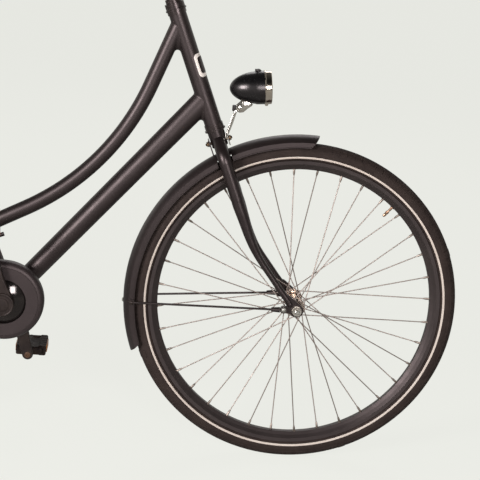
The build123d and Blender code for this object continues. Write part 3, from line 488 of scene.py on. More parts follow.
def sliceUp(piece, axis, length, count):
    # cuts across a piece, so that it can bend or take a pattern
    for step in range(1, count):
        editAll(piece)
        place = Vector(axis) * (step / count - 0.5) * length * mm
        bpy.ops.mesh.bisect(plane_co=place, plane_no=axis)
        leaveEdit()


def closeUp(piece):
    editAll(piece)
    bpy.ops.mesh.remove_doubles(threshold=0.00001)
    bpy.ops.mesh.normals_make_consistent(inside=False)
    leaveEdit()
    return piece


def chainShape(outline):
    # a chain of edges through (x, z) points, left open for editing
    piece = startShape("plane", size=1 * mm)
    editAll(piece)
    bpy.ops.mesh.merge(type="CENTER")
    bpy.ops.transform.translate(value=(outline[0][0] * mm, 0, outline[0][1] * mm))
    for (x, z), (nextX, nextZ) in zip(outline, outline[1:]):
        move = ((nextX - x) * mm, 0, (nextZ - z) * mm)
        bpy.ops.mesh.extrude_vertices_move(TRANSFORM_OT_translate={"value": move})
    bpy.ops.mesh.select_all(action="SELECT")
    return piece


def spunPiece(outline, steps):
    # the outline is (radius, height) points, turned round Z
    piece = chainShape(outline)
    bpy.ops.mesh.spin(steps=steps, angle=2 * math.pi, center=(0, 0, 0), axis=(0, 0, 1))
    return closeUp(piece)


def turnTo(direction, ahead=None):
    up = Vector(direction).normalized()
    front = Vector(ahead) if ahead is not None else Vector((1, 0, 0)) if abs(up.x) < 0.8 else leftward
    side = up.cross(front).normalized()
    return turnOf(side.cross(up), side, up)


def applyPlace(piece):
    take(piece)
    bpy.ops.object.transform_apply(location=True, rotation=True, scale=True)
    return piece


def boxShape(size):
    box = startShape("cube", size=1)
    box.scale = [side * mm for side in size]
    return applyPlace(box)


def roundedBlock(size, edge, segments=2):
    block = boxShape(size)
    editAll(block, "EDGE")
    bpy.ops.mesh.bevel(offset=edge * mm, segments=segments)
    leaveEdit()
    return block


def settle(piece, origin, direction=(0, 0, 1), ahead=None):
    bpy.context.view_layer.update()
    piece.matrix_world = Matrix.Translation(origin) @ turnTo(direction, ahead) @ piece.matrix_world
    return applyPlace(piece)


def copyOf(piece):
    twin = piece.copy()
    twin.data = piece.data.copy()
    scene.collection.objects.link(twin)
    return twin


def joined(pieces):
    clearChoice()
    for piece in pieces:
        piece.select_set(True)
    bpy.context.view_layer.objects.active = pieces[0]
    bpy.ops.object.join()
    return pieces[0]


def eachSide(point, side):
    # the two places to the right and left of a point, facing outwards
    return [(point + leftward * sign * side * mm, leftward * sign) for sign in (-1, 1)]


def repeated(piece, places):
    # a copy at each place, with its height along the given direction
    copies = [settle(copyOf(piece), *place) for place in places]
    bpy.data.objects.remove(piece)
    return joined(copies)


def turned(outline, steps, origin, direction=(0, 0, 1)):
    return settle(spunPiece(outline, steps), origin, direction)


def applyModifier(piece, kind, **settings):
    take(piece)
    modifier = piece.modifiers.new(kind.lower(), kind)
    for key, value in settings.items():
        setattr(modifier, key, value)
    bpy.ops.object.modifier_apply(modifier=modifier.name)


def bend(piece, angle):
    applyModifier(piece, "SIMPLE_DEFORM", deform_method="BEND", deform_axis="Z", angle=angle)


def finishPiece(piece, name, look, body, replaced=(), smooth=32):
    applyPlace(piece)
    piece.name = piece.data.name = name
    dress(piece, look)
    bpy.ops.object.shade_smooth_by_angle(angle=math.radians(smooth))
    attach(piece, body)
    if replaced:
        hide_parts(*replaced)
    return piece


def nutShape(across, height, boltRadius, boltOut):
    # a hexagon nut with crowned corners on a round bolt end
    nut = startShape("cylinder", vertices=6, radius=across * mm / math.sqrt(3), depth=height * mm)
    settle(nut, (0, 0, height * mm / 2))
    crown = height * 0.14
    insetFaces(nut, lambda face: face.normal.z > 0.9, (across * 0.07, crown), (across * 0.05, 0))
    bevelAlong(nut, 2, across * 0.03, 2)
    top = height + crown
    end = top + boltOut
    bolt = [(0, 0), (boltRadius, 0), (boltRadius, top + 0.1)]
    ridge = top + 0.1
    while ridge < end - 0.9:
        bolt += [(boltRadius, ridge + 0.35), (boltRadius * 0.9, ridge + 0.5), (boltRadius, ridge + 0.7)]
        ridge += 0.8
    bolt += [(boltRadius * 0.85, end), (boltRadius * 0.35, end)]
    bolt += [(boltRadius * 0.2, end - 0.3), (0, end - 0.3)]
    return joined([nut, spunPiece(bolt, 16)])


# tyres: a casing with raised tread blocks and a pale ring on each side wall

tyre = {
    "middle": 288.5, "section": 17.8, "columns": 264, "around": 48, "groove": 0.5, "depth": 0.7,
    "stripeAngle": 111.5, "stripeHalf": 2, "stripeProud": 0.35, "stripeSteps": 180,
}
ribs = {"centre": (0, 15), "second": (15, 37.5), "shoulder": (37.5, 67.5)}


def makeTyre(wheel, centre):
    casing = startShape(
        "torus", major_radius=tyre["middle"] * mm, minor_radius=tyre["section"] * mm,
        major_segments=tyre["columns"], minor_segments=tyre["around"],
    )
    columnTurn = 2 * math.pi / tyre["columns"]

    def blockTest(names, every, wanted, offset):
        def test(face):
            middle = face.center
            out = math.hypot(middle.x, middle.y) - tyre["middle"] * mm
            lean = abs(math.degrees(math.atan2(middle.z, out)))
            shift = offset if middle.z > 0 else 0
            column = int(math.atan2(middle.y, middle.x) // columnTurn) + shift
            inside = any(ribs[name][0] < lean < ribs[name][1] for name in names)
            return inside and column // every % 2 == wanted
        return test

    for names, every, offset in ((("centre", "shoulder"), 1, 0), (("second",), 2, 1)):
        for wanted in (0, 1):
            insetFaces(casing, blockTest(names, every, wanted, offset), (tyre["groove"], tyre["depth"]))
    settle(casing, centre, leftward)
    body = wheel + "_wheel"
    finishPiece(casing, wheel + "_tyre_casing", wheel + "Rubber", body, [wheel + "_tyre"], 28)

    turn = math.radians(tyre["stripeAngle"])
    stripes = []
    for side in (-1, 1):
        outline = []
        for step in range(13):
            share = 2 * math.pi * step / 12
            along = tyre["stripeHalf"] * math.cos(share)
            out = tyre["section"] + tyre["stripeProud"] * math.sin(share)
            radius = tyre["middle"] + out * math.cos(turn) - along * math.sin(turn)
            outline.append((radius, side * (out * math.sin(turn) + along * math.cos(turn))))
        stripes.append(turned(outline, tyre["stripeSteps"], centre, leftward))
    finishPiece(joined(stripes), wheel + "_tyre_stripes", "stripeCream", body)


for wheel, centre in wheelCentres.items():
    makeTyre(wheel, centre)
print("tyres made")


# spoke nipples, spoke heads and valves

def grooves(radius, bottom, heights):
    # the points of narrow grooves round a turned part
    points = []
    for height in heights:
        points += [(radius, height - 0.3), (bottom, height), (radius, height + 0.3)]
    return points


lacing = {
    "count": 36, "rimRadius": 258, "rimSide": 2.5, "crossAngle": 60, "headStep": 1.9, "flangeHalf": 1.4,
    "front": (15.5, 32), "rear": (29, 28),
    "nipple": [
        (0, -1.2), (3.3, -1.2), (3.3, 0.4), (2.6, 0.9), (2.1, 1.2), (2.1, 8), (1.7, 9), (1.35, 11.5),
        (0, 11.5),
    ],
    "head": [(0, 1.5), (1.1, 1.3), (1.9, 0.5), (1.9, 0), (1.1, -0.1), (1.1, -5), (0, -5)],
}
valve = {
    "front": 49.5, "rear": 214.5,
    "stem": [
        (0, -1), (4.6, -1), (4.6, 0.6), (4, 1.2), (2.5, 1.4), *grooves(2.5, 2.1, (2.7, 4.3, 5.9)),
        (2.5, 7.6), (2.1, 8.2), (2.1, 10.8), (3.25, 11.4), *grooves(3.25, 2.9, (12.5, 13.9)),
        (3.25, 15.2), (2.6, 16), (2.3, 18.2), (0, 18.2),
    ],
    "cap": [
        (0, 17), (2.3, 17), (2.9, 17.6), (2.9, 19.5), (2.6, 22.4), (2, 23.6), (0.8, 24.2), (0, 24.2),
    ],
}


def spokeEnds(centre, holeCircle, flangeSide):
    for index in range(lacing["count"]):
        side = 1 if index % 2 == 0 else -1
        lead = 1 if index // 2 % 2 == 0 else -1
        rimAngle = (index + 0.5) * 360 / lacing["count"]
        hubAngle = rimAngle + lead * lacing["crossAngle"]
        rimEnd = aroundAxle(centre, lacing["rimRadius"] * mm, rimAngle, side * lacing["rimSide"] * mm)
        lift = side * (flangeSide + lead * lacing["headStep"]) * mm
        hubEnd = aroundAxle(centre, holeCircle * mm, hubAngle, lift)
        headSide = side * (flangeSide - lead * lacing["flangeHalf"]) * mm
        headPlace = aroundAxle(centre, holeCircle * mm, hubAngle, headSide)
        yield (rimEnd, hubEnd - rimEnd), (headPlace, leftward * (-side * lead))


def makeSpokeEnds(wheel, centre):
    nipplePlaces, headPlaces = zip(*spokeEnds(centre, *lacing[wheel]))
    body = wheel + "_wheel"
    nipples = repeated(spunPiece(lacing["nipple"], 8), nipplePlaces)
    finishPiece(nipples, wheel + "_nipples", "nippleZinc", body)
    heads = repeated(spunPiece(lacing["head"], 8), headPlaces)
    finishPiece(heads, wheel + "_spoke_heads", "spokeSteel", body)
    foot = aroundAxle(centre, lacing["rimRadius"] * mm, valve[wheel])
    for part, outline in (("_valve", valve["stem"]), ("_valve_cap", valve["cap"])):
        piece = turned(outline, 16, foot, centre - foot)
        finishPiece(piece, wheel + part, "valveBrass", body)


for wheel, centre in wheelCentres.items():
    makeSpokeEnds(wheel, centre)
print("spoke ends and valves made")


# axle ends, and the bolts of the guard stays

fastener = {
    "axleEnd": [(0, 0.7), (1.3, 0.4), (1.6, 0.9), (3.2, 1), (4.3, 0.4), (4.7, -0.4), (0, -0.4)],
    "domeBolt": [(0, 2.3), (1.8, 2.1), (3.3, 1.3), (3.9, 0.3), (4.6, 0.2), (4.9, -0.3), (0, -0.3)],
    "reach": {"front": 66, "rear": 94}, "eye": {"front": (25, 60.2), "rear": (24, 68)},
    "eyeAngle": 176, "skirt": (306, 182, 28.2), "crest": (322.4, 182.4),
}


def makeFasteners():
    for wheel, body in (("front", "steering"), ("rear", "frame")):
        centre = wheelCentres[wheel]
        ends = repeated(spunPiece(fastener["axleEnd"], 20), eachSide(centre, fastener["reach"][wheel]))
        finishPiece(ends, wheel + "_axle_ends", "brightSteel", body)
        radius, side = fastener["eye"][wheel]
        eye = aroundAxle(centre, radius * mm, fastener["eyeAngle"])
        bolts = repeated(spunPiece(fastener["domeBolt"], 16), eachSide(eye, side))
        finishPiece(bolts, wheel + "_stay_bolts", "brightSteel", body)
        radius, degrees, side = fastener["skirt"]
        skirt = aroundAxle(centre, radius * mm, degrees)
        bolts = repeated(spunPiece(fastener["domeBolt"], 16), eachSide(skirt, side))
        finishPiece(bolts, wheel + "_guard_bolts", "crankPaint", body)
    radius, degrees = fastener["crest"]
    crest = aroundAxle(frontCentre, radius * mm, degrees)
    bolt = turned(fastener["domeBolt"], 16, crest, crest - frontCentre)
    finishPiece(bolt, "front_guard_crest_bolt", "brightSteel", "steering")


makeFasteners()


# crown bolt: nuts on a bolt through the fork crown, behind the guard's tab and before the lamp's strip

crownBolt = {
    "along": 323, "front": 18.9, "rear": -18.7, "nut": (8.2, 4, 2.5, 2), "sunk": 0.2, "shank": 2.9,
    "washer": [(0, 0), (6, 0), (6, 1), (5.4, 1.3), (0, 1.3)],
}


def makeCrownBolt():
    front, rear = crownBolt["front"], crownBolt["rear"]
    parts = []
    for direction, ahead in ((headAhead, front), (-headAhead, rear)):
        origin = onHead(crownBolt["along"] * mm, ahead * mm)
        parts.append(settle(nutShape(*crownBolt["nut"]), origin, direction, leftward))
        parts.append(turned(crownBolt["washer"], 20, origin - direction * crownBolt["sunk"] * mm, direction))
    shank = [(0, rear), (crownBolt["shank"], rear), (crownBolt["shank"], front), (0, front)]
    parts.append(turned(shank, 16, onHead(crownBolt["along"] * mm), headAhead))
    finishPiece(joined(parts), "crown_bolt_nuts", "brass", "steering", ["crown_bolt"])


makeCrownBolt()
print("bolts made")


# badge: a bare pale plate with a plain dark field, wrapped round the head tube's front

badge = {
    "middle": 467.5, "wall": 0.5, "bends": 30, "lip": (1.1, 0.25),
    "plate": {"height": 43, "wrap": 150, "corner": 7, "radius": 16.1},
    "field": {"height": 31, "wrap": 112, "corner": 4.5, "radius": 16.5},
}


def makeBadge(values):
    angle = math.radians(values["wrap"])
    width = values["radius"] * angle
    plate = startShape("plane", size=1, rotation=(math.pi / 2, 0, 0))
    plate.scale = (width * mm, values["height"] * mm, 1)
    applyPlace(plate)
    editAll(plate)
    bpy.ops.mesh.bevel(offset=values["corner"] * mm, segments=8, affect="VERTICES")
    insetFaces(plate, lambda face: True, badge["lip"])
    sliceUp(plate, (1, 0, 0), width, badge["bends"])
    applyModifier(plate, "SOLIDIFY", thickness=badge["wall"] * mm, offset=1)
    bend(plate, angle)
    low = min(point.co.y for point in plate.data.vertices)
    across = (-headAhead).cross(headUp)
    frontLine = onHead(badge["middle"] * mm, values["radius"] * mm)
    plate.matrix_world = Matrix.Translation(frontLine + headAhead * low) @ turnOf(across, -headAhead, headUp)
    return plate


for part, name, look in (("plate", "head_plate", "badgeCream"), ("field", "head_plate_field", "barPaint")):
    finishPiece(makeBadge(badge[part]), name, look, "frame", smooth=40)
print("badge made")


# grips: ribbed sleeves with a flange at the inner end

grip = {
    "end": (56, 268, 974), "corner": (262, 213, 990), "cap": 4,
    "crest": 15.4, "valley": 13.9, "firstRib": 12, "ribStep": 5.6, "ribs": 17,
    "mouth": [
        (16, 115.5), (18.9, 117), (19, 119.5), (18.2, 121.6), (11.3, 122), (11.3, 5), (0, 5),
    ],
}


def gripOutline():
    outline = [(0, 0), (9, 0), (13.2, 1), (14.9, 3.6), (15.2, 7), (14.6, 9.5), (grip["valley"], 10.6)]
    for rib in range(grip["ribs"]):
        low = grip["firstRib"] + rib * grip["ribStep"]
        outline += [
            (grip["valley"], low), (grip["crest"] - 0.3, low + 0.8), (grip["crest"], low + 2.2),
            (grip["crest"] - 0.3, low + 3.6), (grip["valley"], low + 4.4),
        ]
    return outline + [(grip["valley"], 113)] + grip["mouth"]


def makeGrips():
    places = []
    for side in (-1, 1):
        end, corner = (Vector((x, side * y, z)) * mm for x, y, z in (grip["end"], grip["corner"]))
        inwards = (corner - end).normalized()
        places.append((end - inwards * grip["cap"] * mm, inwards))
    sleeves = repeated(spunPiece(gripOutline(), 32), places)
    finishPiece(sleeves, "grip_sleeves", "gripRubber", "steering", ["grips"], 45)


makeGrips()
print("grips made")


# saddle: a padded cover with piping, a stitched line and rivets

saddle = {
    "smaller": 1.6, "voxel": 5, "pressure": 4, "frames": 20, "cap": 5, "still": 14,
    "pipeAt": 6, "pipe": 2, "stitchAt": 13, "stitchStep": 5.4, "rivetAt": (13, 42, 13),
    "stitch": [(0, 0), (0.55, 0.25), (0.6, 0.8), (0.6, 2.6), (0.55, 3.1), (0, 3.4)],
    "rivet": [(0, 2), (2.2, 1.7), (3.6, 0.8), (4, -0.4), (0, -0.4)],
}


def puffUp(piece):
    points = piece.data.vertices
    before = [point.co.copy() for point in points]
    cloth = piece.modifiers.new("puff", "CLOTH")
    cloth.settings.use_pressure = True
    cloth.settings.uniform_pressure_force = saddle["pressure"]
    cloth.settings.effector_weights.gravity = 0
    for step in range(1, saddle["frames"] + 1):
        scene.frame_set(step)
    shaped = piece.evaluated_get(bpy.context.evaluated_depsgraph_get()).data
    after = [point.co.copy() for point in shaped.vertices]
    piece.modifiers.remove(cloth)
    scene.frame_set(1)
    floor = min(place.z for place in before)
    for point, old, new in zip(points, before, after):
        move = new - old
        share = min(max((old.z - floor) / (saddle["still"] * mm), 0), 1)
        if move.length > 0:
            point.co = old + move * share * min(1, saddle["cap"] * mm / move.length)


def edgeLoop(piece, height):
    # the line where a level plane cuts the piece
    loop = copyOf(piece)
    editAll(loop)
    bpy.ops.mesh.bisect(plane_co=(0, 0, height), plane_no=(0, 0, 1), clear_inner=True, clear_outer=True)
    leaveEdit()
    bpy.ops.object.convert(target="CURVE")
    return loop


def stepsAlong(loop, step):
    points = [Vector(point.co[:3]) for point in loop.data.splines[0].points]
    points.append(points[0])
    walked = 0
    for first, second in zip(points, points[1:]):
        run = second - first
        while walked < run.length:
            yield first + run.normalized() * walked, run
            walked += step
        walked -= run.length


def makeSaddle():
    cover = nodes["saddle_cover"].copy()
    cover.data = cover.data.copy()
    cover.parent = None
    cover.matrix_world = Matrix.Identity(4)
    for key in list(cover.keys()):
        del cover[key]
    scene.collection.objects.link(cover)
    closeUp(cover)
    editAll(cover)
    bpy.ops.transform.shrink_fatten(value=-saddle["smaller"] * mm)
    leaveEdit()
    applyModifier(cover, "REMESH", mode="VOXEL", voxel_size=saddle["voxel"] * mm)
    puffUp(cover)
    applyModifier(cover, "SUBSURF", levels=1, render_levels=1)
    base = min(point.co.z for point in cover.data.vertices)
    piping = edgeLoop(cover, base + saddle["pipeAt"] * mm)
    piping.data.bevel_depth = saddle["pipe"] * mm
    piping.data.bevel_resolution = 2
    take(piping)
    bpy.ops.object.convert(target="MESH")
    seam = edgeLoop(cover, base + saddle["stitchAt"] * mm)
    stitches = repeated(spunPiece(saddle["stitch"], 6), list(stepsAlong(seam, saddle["stitchStep"] * mm)))
    bpy.data.objects.remove(seam)
    low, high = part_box("saddle_cover")
    inset, across, lift = (value * mm for value in saddle["rivetAt"])
    places = []
    for side in (-1, 1):
        places.append((Vector((low.x + inset, side * across, base + lift)), (-0.9, side * 0.35, 0.25)))
    rivets = repeated(spunPiece(saddle["rivet"], 14), places)
    finishPiece(cover, "saddle_pad", "leather", "frame", ["saddle_cover"], 60)
    finishPiece(piping, "saddle_piping", "leatherPiping", "frame", smooth=60)
    finishPiece(stitches, "saddle_stitches", "threadGrey", "frame", smooth=60)
    finishPiece(rivets, "saddle_rivets", "brightSteel", "frame")


makeSaddle()
print("saddle made")


# headlamp: rolled bezel with its tab and screw, bulb, collar and switch

lamp = {
    "back": (326.3, 0, 705.2), "tilt": 5,
    "bezel": [
        (29.2, 63.2), (30.9, 63), (31.5, 63.7), (31.5, 64.7), (30.9, 65.3), (30.7, 66.4), (30.5, 72.6),
        (30.6, 74), (30.2, 75.3), (29.2, 76.1), (28.3, 76.2), (27.6, 75.6), (27.5, 74.4), (28, 73),
        (28.6, 70), (29, 66), (29.2, 63.2),
    ],
    "bulb": [
        (0, 51), (1.8, 50.6), (3.6, 48.6), (4.3, 45.6), (3.9, 42), (2.9, 39.2), (2.7, 37.2), (0, 37.2),
    ],
    "collar": [
        (0, 38.4), (3.5, 38.4), (3.5, 37.4), (4.9, 37.2), (4.9, 36.4), (4, 36.2), (4, 34), (0, 34),
    ],
    "knob": [(0, 3.4), (2.6, 3.3), (4.3, 2.7), (4.8, 1.6), (4.9, -4), (0, -4)],
    "knobAt": (53, 29.8), "tab": (4.6, 7, 5.4), "tabAt": (66.6, -31), "tabEdge": 0.9,
    "screwAt": (69, -31.2), "screwSize": 0.55,
}


def onLamp(along, above=0):
    tilt = math.radians(lamp["tilt"])
    ahead = Vector((math.cos(tilt), 0, math.sin(tilt)))
    up = Vector((-math.sin(tilt), 0, math.cos(tilt)))
    return (Vector(lamp["back"]) + ahead * along + up * above) * mm


def makeLamp():
    ahead = onLamp(1000) - onLamp(0)
    up = onLamp(0, 1000) - onLamp(0)
    ring = turned(lamp["bezel"], 72, onLamp(0), ahead)
    tab = settle(roundedBlock(lamp["tab"], lamp["tabEdge"]), onLamp(*lamp["tabAt"]), up, ahead)
    small = lamp["screwSize"]
    outline = [(radius * small, height * small) for radius, height in fastener["domeBolt"]]
    screw = turned(outline, 14, onLamp(*lamp["screwAt"]), ahead)
    bezel = joined([ring, tab, screw])
    finishPiece(bezel, "lamp_bezel", "bezelChromeWithPaintedReflection", "steering", ["headlamp_bezel"])
    bulb = turned(lamp["bulb"], 20, onLamp(0), ahead)
    finishPiece(bulb, "lamp_bulb", "lensGlass", "steering")
    collar = turned(lamp["collar"], 20, onLamp(0), ahead)
    finishPiece(collar, "lamp_bulb_collar", "valveBrass", "steering")
    knob = turned(lamp["knob"], 20, onLamp(*lamp["knobAt"]), up)
    finishPiece(knob, "lamp_switch", "capBlack", "steering")


makeLamp()
print("lamp made")


# lamp bracket: a pressed strip from the crown bolt, a hinge with its bolt, side plates and a seat

bracket = {
    "strip": (56.5, 4.4, 14), "wall": 1.2, "hollow": 3.2, "bends": 14, "bow": 8, "edge": 0.35,
    "low": (326.2, 0, 613), "high": (341.6, 0, 666),
    "foot": (1.8, 14, 22), "footAt": (321.5, 17.7), "footEdge": 0.4, "footCorner": 0.3,
    "plate": [
        (340.4, 668), (341.4, 674.8), (345.5, 679), (351, 684), (361, 683.6), (370.2, 679.6),
        (369, 676.6), (361, 670.4), (353.9, 663.6), (347, 662.4), (342.2, 664.2),
    ],
    "plateSide": 7.6, "plateWall": 1.1, "hinge": (345.2, 0, 670.2), "hingeSide": 8.1,
    "bolt": [
        (0, 2.2), (1.9, 2.1), (2.3, 1.3), (3.1, 1.2), (3.5, 2.6), (4.9, 2.4), (5.5, 1.3), (5.5, -0.4),
        (0, -0.4),
    ],
    "pin": [(0, -8), (2.9, -8), (2.9, 8), (0, 8)],
    "block": (6.8, 9.6, 10.8), "blockEdge": 1.2, "blockAt": (337.4, 0, 669.2),
    "seat": (18, 12.6, 3), "seatEdge": 0.8, "seatAt": (359, 0, 681), "seatLean": (0.24, 0, 0.97),
}


def sheetPiece(outline, wall):
    # the outline is world (x, z) points, filled and thickened along Y
    piece = chainShape(outline)
    bpy.ops.mesh.edge_face_add()
    leaveEdit()
    applyModifier(piece, "SOLIDIFY", thickness=wall * mm, offset=0)
    applyModifier(piece, "BEVEL", width=0.25 * mm, segments=2)
    return closeUp(piece)


def makeStrip():
    strip = boxShape(bracket["strip"])
    insetFaces(strip, lambda face: face.normal.y > 0.9, (bracket["wall"], 0), (0.05, -bracket["hollow"]))
    applyModifier(strip, "BEVEL", width=bracket["edge"] * mm, segments=2)
    sliceUp(strip, (1, 0, 0), bracket["strip"][0], bracket["bends"])
    bend(strip, math.radians(bracket["bow"]))
    low, high = Vector(bracket["low"]) * mm, Vector(bracket["high"]) * mm
    up = (high - low).normalized()
    turn = turnOf(up, -leftward.cross(up), -leftward)
    strip.matrix_world = Matrix.Translation((low + high) / 2) @ turn
    return applyPlace(strip)


def makeBracket():
    foot = roundedBlock(bracket["foot"], bracket["footEdge"])
    bevelAlong(foot, 0, bracket["footCorner"], 2)
    settle(foot, onHead(*(value * mm for value in bracket["footAt"])), headUp, headAhead)
    strip = joined([makeStrip(), foot])
    finishPiece(strip, "lamp_bracket_strip", "chrome", "steering", ["headlamp_bracket"])
    places = [(leftward * side * bracket["plateSide"] * mm,) for side in (-1, 1)]
    plates = repeated(sheetPiece(bracket["plate"], bracket["plateWall"]), places)
    finishPiece(plates, "lamp_bracket_plates", "chrome", "steering")
    hinge = Vector(bracket["hinge"]) * mm
    heads = repeated(spunPiece(bracket["bolt"], 24), eachSide(hinge, bracket["hingeSide"]))
    bolt = joined([heads, turned(bracket["pin"], 16, hinge, leftward)])
    finishPiece(bolt, "lamp_hinge_bolt", "chrome", "steering")
    block = roundedBlock(bracket["block"], bracket["blockEdge"])
    settle(block, Vector(bracket["blockAt"]) * mm)
    finishPiece(block, "lamp_hinge_block", "capBlack", "steering")
    seat = roundedBlock(bracket["seat"], bracket["seatEdge"])
    settle(seat, Vector(bracket["seatAt"]) * mm, bracket["seatLean"])
    finishPiece(seat, "lamp_seat", "rustBrown", "steering")


makeBracket()
print("lamp bracket made")


# drive: a polished cover on the chainring dome, caps on the crank bosses, pedal ends, cores and reflectors

drive = {
    "cap": [
        (0, 1.7), (9, 1.9), (11.6, 1.5), (12.4, 0.6), (13.2, 0.5), (17.6, 0.6), (18.6, 1.5), (19.6, 2),
        (20.8, 1.7), (21.8, 0.6), (22.05, -0.8), (21.6, -1.2), (0, -1.2),
    ],
    "capSide": 82, "armSide": 69, "lead": 15.3, "length": 150,
    "spindle": [
        (0, 1.2), (2, 0.9), (2.6, 1.6), (4.6, 1.4), (5.8, 0.9), (5.8, 0.12), (4.9, 0.1), (4.9, -1.2),
        (0, -1.2),
    ],
    "domeTop": 69.3, "domeBend": 88, "domeInner": 20.5, "domeRim": 49, "domeWall": 1.2, "domeSteps": 14,
}
pedal = {
    "middle": 4, "core": (46, 66, 15), "coreEdge": 3, "coreSide": 124, "recess": (3, -1.2),
    "reflector": (2.6, 44, 13), "reflectorReach": 29.3, "reflectorSide": 133, "pane": (1.2, -0.5),
    "cuts": 5, "prism": (0.35, 0.45),
}


def crankEnd(side):
    turn = math.radians(drive["lead"])
    reach = side * drive["length"] * mm
    return crankCentre + Vector((reach * math.sin(turn), 0, -reach * math.cos(turn)))


def domeOutline():
    front = []
    for step in range(drive["domeSteps"] + 1):
        radius = drive["domeInner"] + (drive["domeRim"] - drive["domeInner"]) * step / drive["domeSteps"]
        drop = drive["domeBend"] - math.sqrt(drive["domeBend"] ** 2 - radius ** 2)
        front.append((radius, drive["domeTop"] - drop))
    back = [(radius, height - drive["domeWall"]) for radius, height in reversed(front)]
    return front + back + front[:1]


def makeDrive():
    dome = turned(domeOutline(), 72, crankCentre, -leftward)
    finishPiece(dome, "dome_cover", "domeGloss", "cranks")
    caps = repeated(spunPiece(drive["cap"], 48), eachSide(crankCentre, drive["capSide"]))
    finishPiece(caps, "crank_caps", "crankPaint", "cranks")


def makeReflector(front):
    plate = boxShape(pedal["reflector"])
    choose(plate, lambda face: face.normal.x * front > 0.9)
    insetChosen(*pedal["pane"])
    bpy.ops.mesh.subdivide(number_cuts=pedal["cuts"])
    insetChosen(*pedal["prism"], True)
    leaveEdit()
    return plate


def makePedal(side, name):
    end = crankEnd(side)
    body = "pedal_" + name
    cap = turned(drive["spindle"], 20, end + leftward * side * drive["armSide"] * mm, leftward * -side)
    finishPiece(cap, name + "_spindle_end", "rustBrown", body)
    plates = []
    for front in (-1, 1):
        ahead = pedal["middle"] + front * pedal["reflectorReach"]
        place = Vector((ahead, side * pedal["reflectorSide"], 0)) * mm
        plates.append(settle(makeReflector(front), end + place))
    finishPiece(joined(plates), name + "_pedal_reflectors", "amberPlastic", body)
    core = roundedBlock(pedal["core"], pedal["coreEdge"], 3)
    insetFaces(core, lambda face: abs(face.normal.z) > 0.95, pedal["recess"], each=True)
    settle(core, end + Vector((pedal["middle"], side * pedal["coreSide"], 0)) * mm)
    finishPiece(core, name + "_pedal_core", "pedalRubber", body)


makeDrive()
makePedal(-1, "right")
makePedal(1, "left")
print("drive details made")


# rear lamp: a housing with a ribbed lens

rearLamp = {
    "housing": (9, 68, 22), "housingRound": 6.5, "lens": (9.4, 63, 17.6), "lensRound": 5,
    "face": (1.4, 0.9), "ribs": 16, "rib": (0.4, 0.8), "proud": 0.5,
}


def facesBack(face):
    return face.normal.x < -0.9


def lampBlock(size, roundness):
    block = boxShape(size)
    bevelAlong(block, 0, roundness, 5)
    insetFaces(block, facesBack, rearLamp["face"])
    return block


def makeRearLamp():
    low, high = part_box("rear_lamp")
    middle = (low + high) / 2
    housing = lampBlock(rearLamp["housing"], rearLamp["housingRound"])
    settle(housing, Vector((high.x - rearLamp["housing"][0] * mm / 2, 0, middle.z)))
    finishPiece(housing, "rear_lamp_housing", "capBlack", "frame", ["rear_lamp"])
    lens = lampBlock(rearLamp["lens"], rearLamp["lensRound"])
    sliceUp(lens, (0, 1, 0), rearLamp["lens"][1], rearLamp["ribs"])
    insetFaces(lens, facesBack, rearLamp["rib"], each=True)
    settle(lens, Vector((low.x + (rearLamp["lens"][0] / 2 + rearLamp["proud"]) * mm, 0, middle.z)))
    finishPiece(lens, "rear_lamp_lens", "redPlastic", "frame")


makeRearLamp()
print("rear lamp made")


# bell: thumb lever and the nut on its dome; bolts of stem and seat clamp

fittings = {
    "bellNut": [(0, 3), (1.6, 2.9), (2.6, 2.2), (2.9, 1), (4.6, 0.7), (5, 0), (5, -1.4), (0, -1.4)],
    "bellNutDrop": 2.6, "lever": (5, 8, 2), "leverAt": (-16, 0, -27.5),
    "leverSteps": [(8, -1, 1), (7, -3, 1.25), (6, -4, 1.2), (3, -3, 0.8)], "leverThin": 0.9,
    "seatBolt": (-223.9, 635.9), "seatBoltSide": 9, "seatNut": (10, 4.4, 3, 1.6),
    "stemCap": [(0, 0.4), (3.4, 0.4), (3.9, 2.4), (6.2, 2.6), (7.4, 1.6), (7.6, -14), (0, -14)],
    "stemCapAt": (667, -3),
}


def makeLever():
    # each step draws the end face back by a reach, lifts it and changes its width
    lever = boxShape(fittings["lever"])
    for reach, lift, spread in fittings["leverSteps"]:
        far = min(point.co.x for point in lever.data.vertices)
        choose(lever, lambda face: face.center.x < far + 0.2 * mm)
        bpy.ops.mesh.extrude_region_move(TRANSFORM_OT_translate={"value": (-reach * mm, 0, lift * mm)})
        centre = sum((lever.matrix_world @ Vector(corner) for corner in lever.bound_box), Vector()) / 8
        bpy.ops.transform.resize(value=(1, spread, fittings["leverThin"]), center_override=centre)
        leaveEdit()
    applyModifier(lever, "BEVEL", width=0.5 * mm, segments=2)
    applyModifier(lever, "SUBSURF", levels=1, render_levels=1)
    return lever


def makeFittings():
    low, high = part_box("bell")
    top = Vector(((low.x + high.x) / 2, (low.y + high.y) / 2, high.z))
    nut = turned(fittings["bellNut"], 20, top - Vector((0, 0, fittings["bellNutDrop"] * mm)))
    finishPiece(nut, "bell_nut", "brightSteel", "steering")
    lever = settle(makeLever(), top + Vector(fittings["leverAt"]) * mm)
    finishPiece(lever, "bell_lever", "brightSteel", "steering", smooth=50)
    x, z = fittings["seatBolt"]
    places = eachSide(Vector((x, 0, z)) * mm, fittings["seatBoltSide"])
    bolts = repeated(nutShape(*fittings["seatNut"]), places)
    finishPiece(bolts, "seat_clamp_bolt", "brightSteel", "frame")
    along, ahead = fittings["stemCapAt"]
    cap = turned(fittings["stemCap"], 28, onHead(along * mm, ahead * mm), headUp)
    finishPiece(cap, "stem_bolt_cap", "capBlack", "steering")


makeFittings()
print("fittings made")


# floor, background and lamps

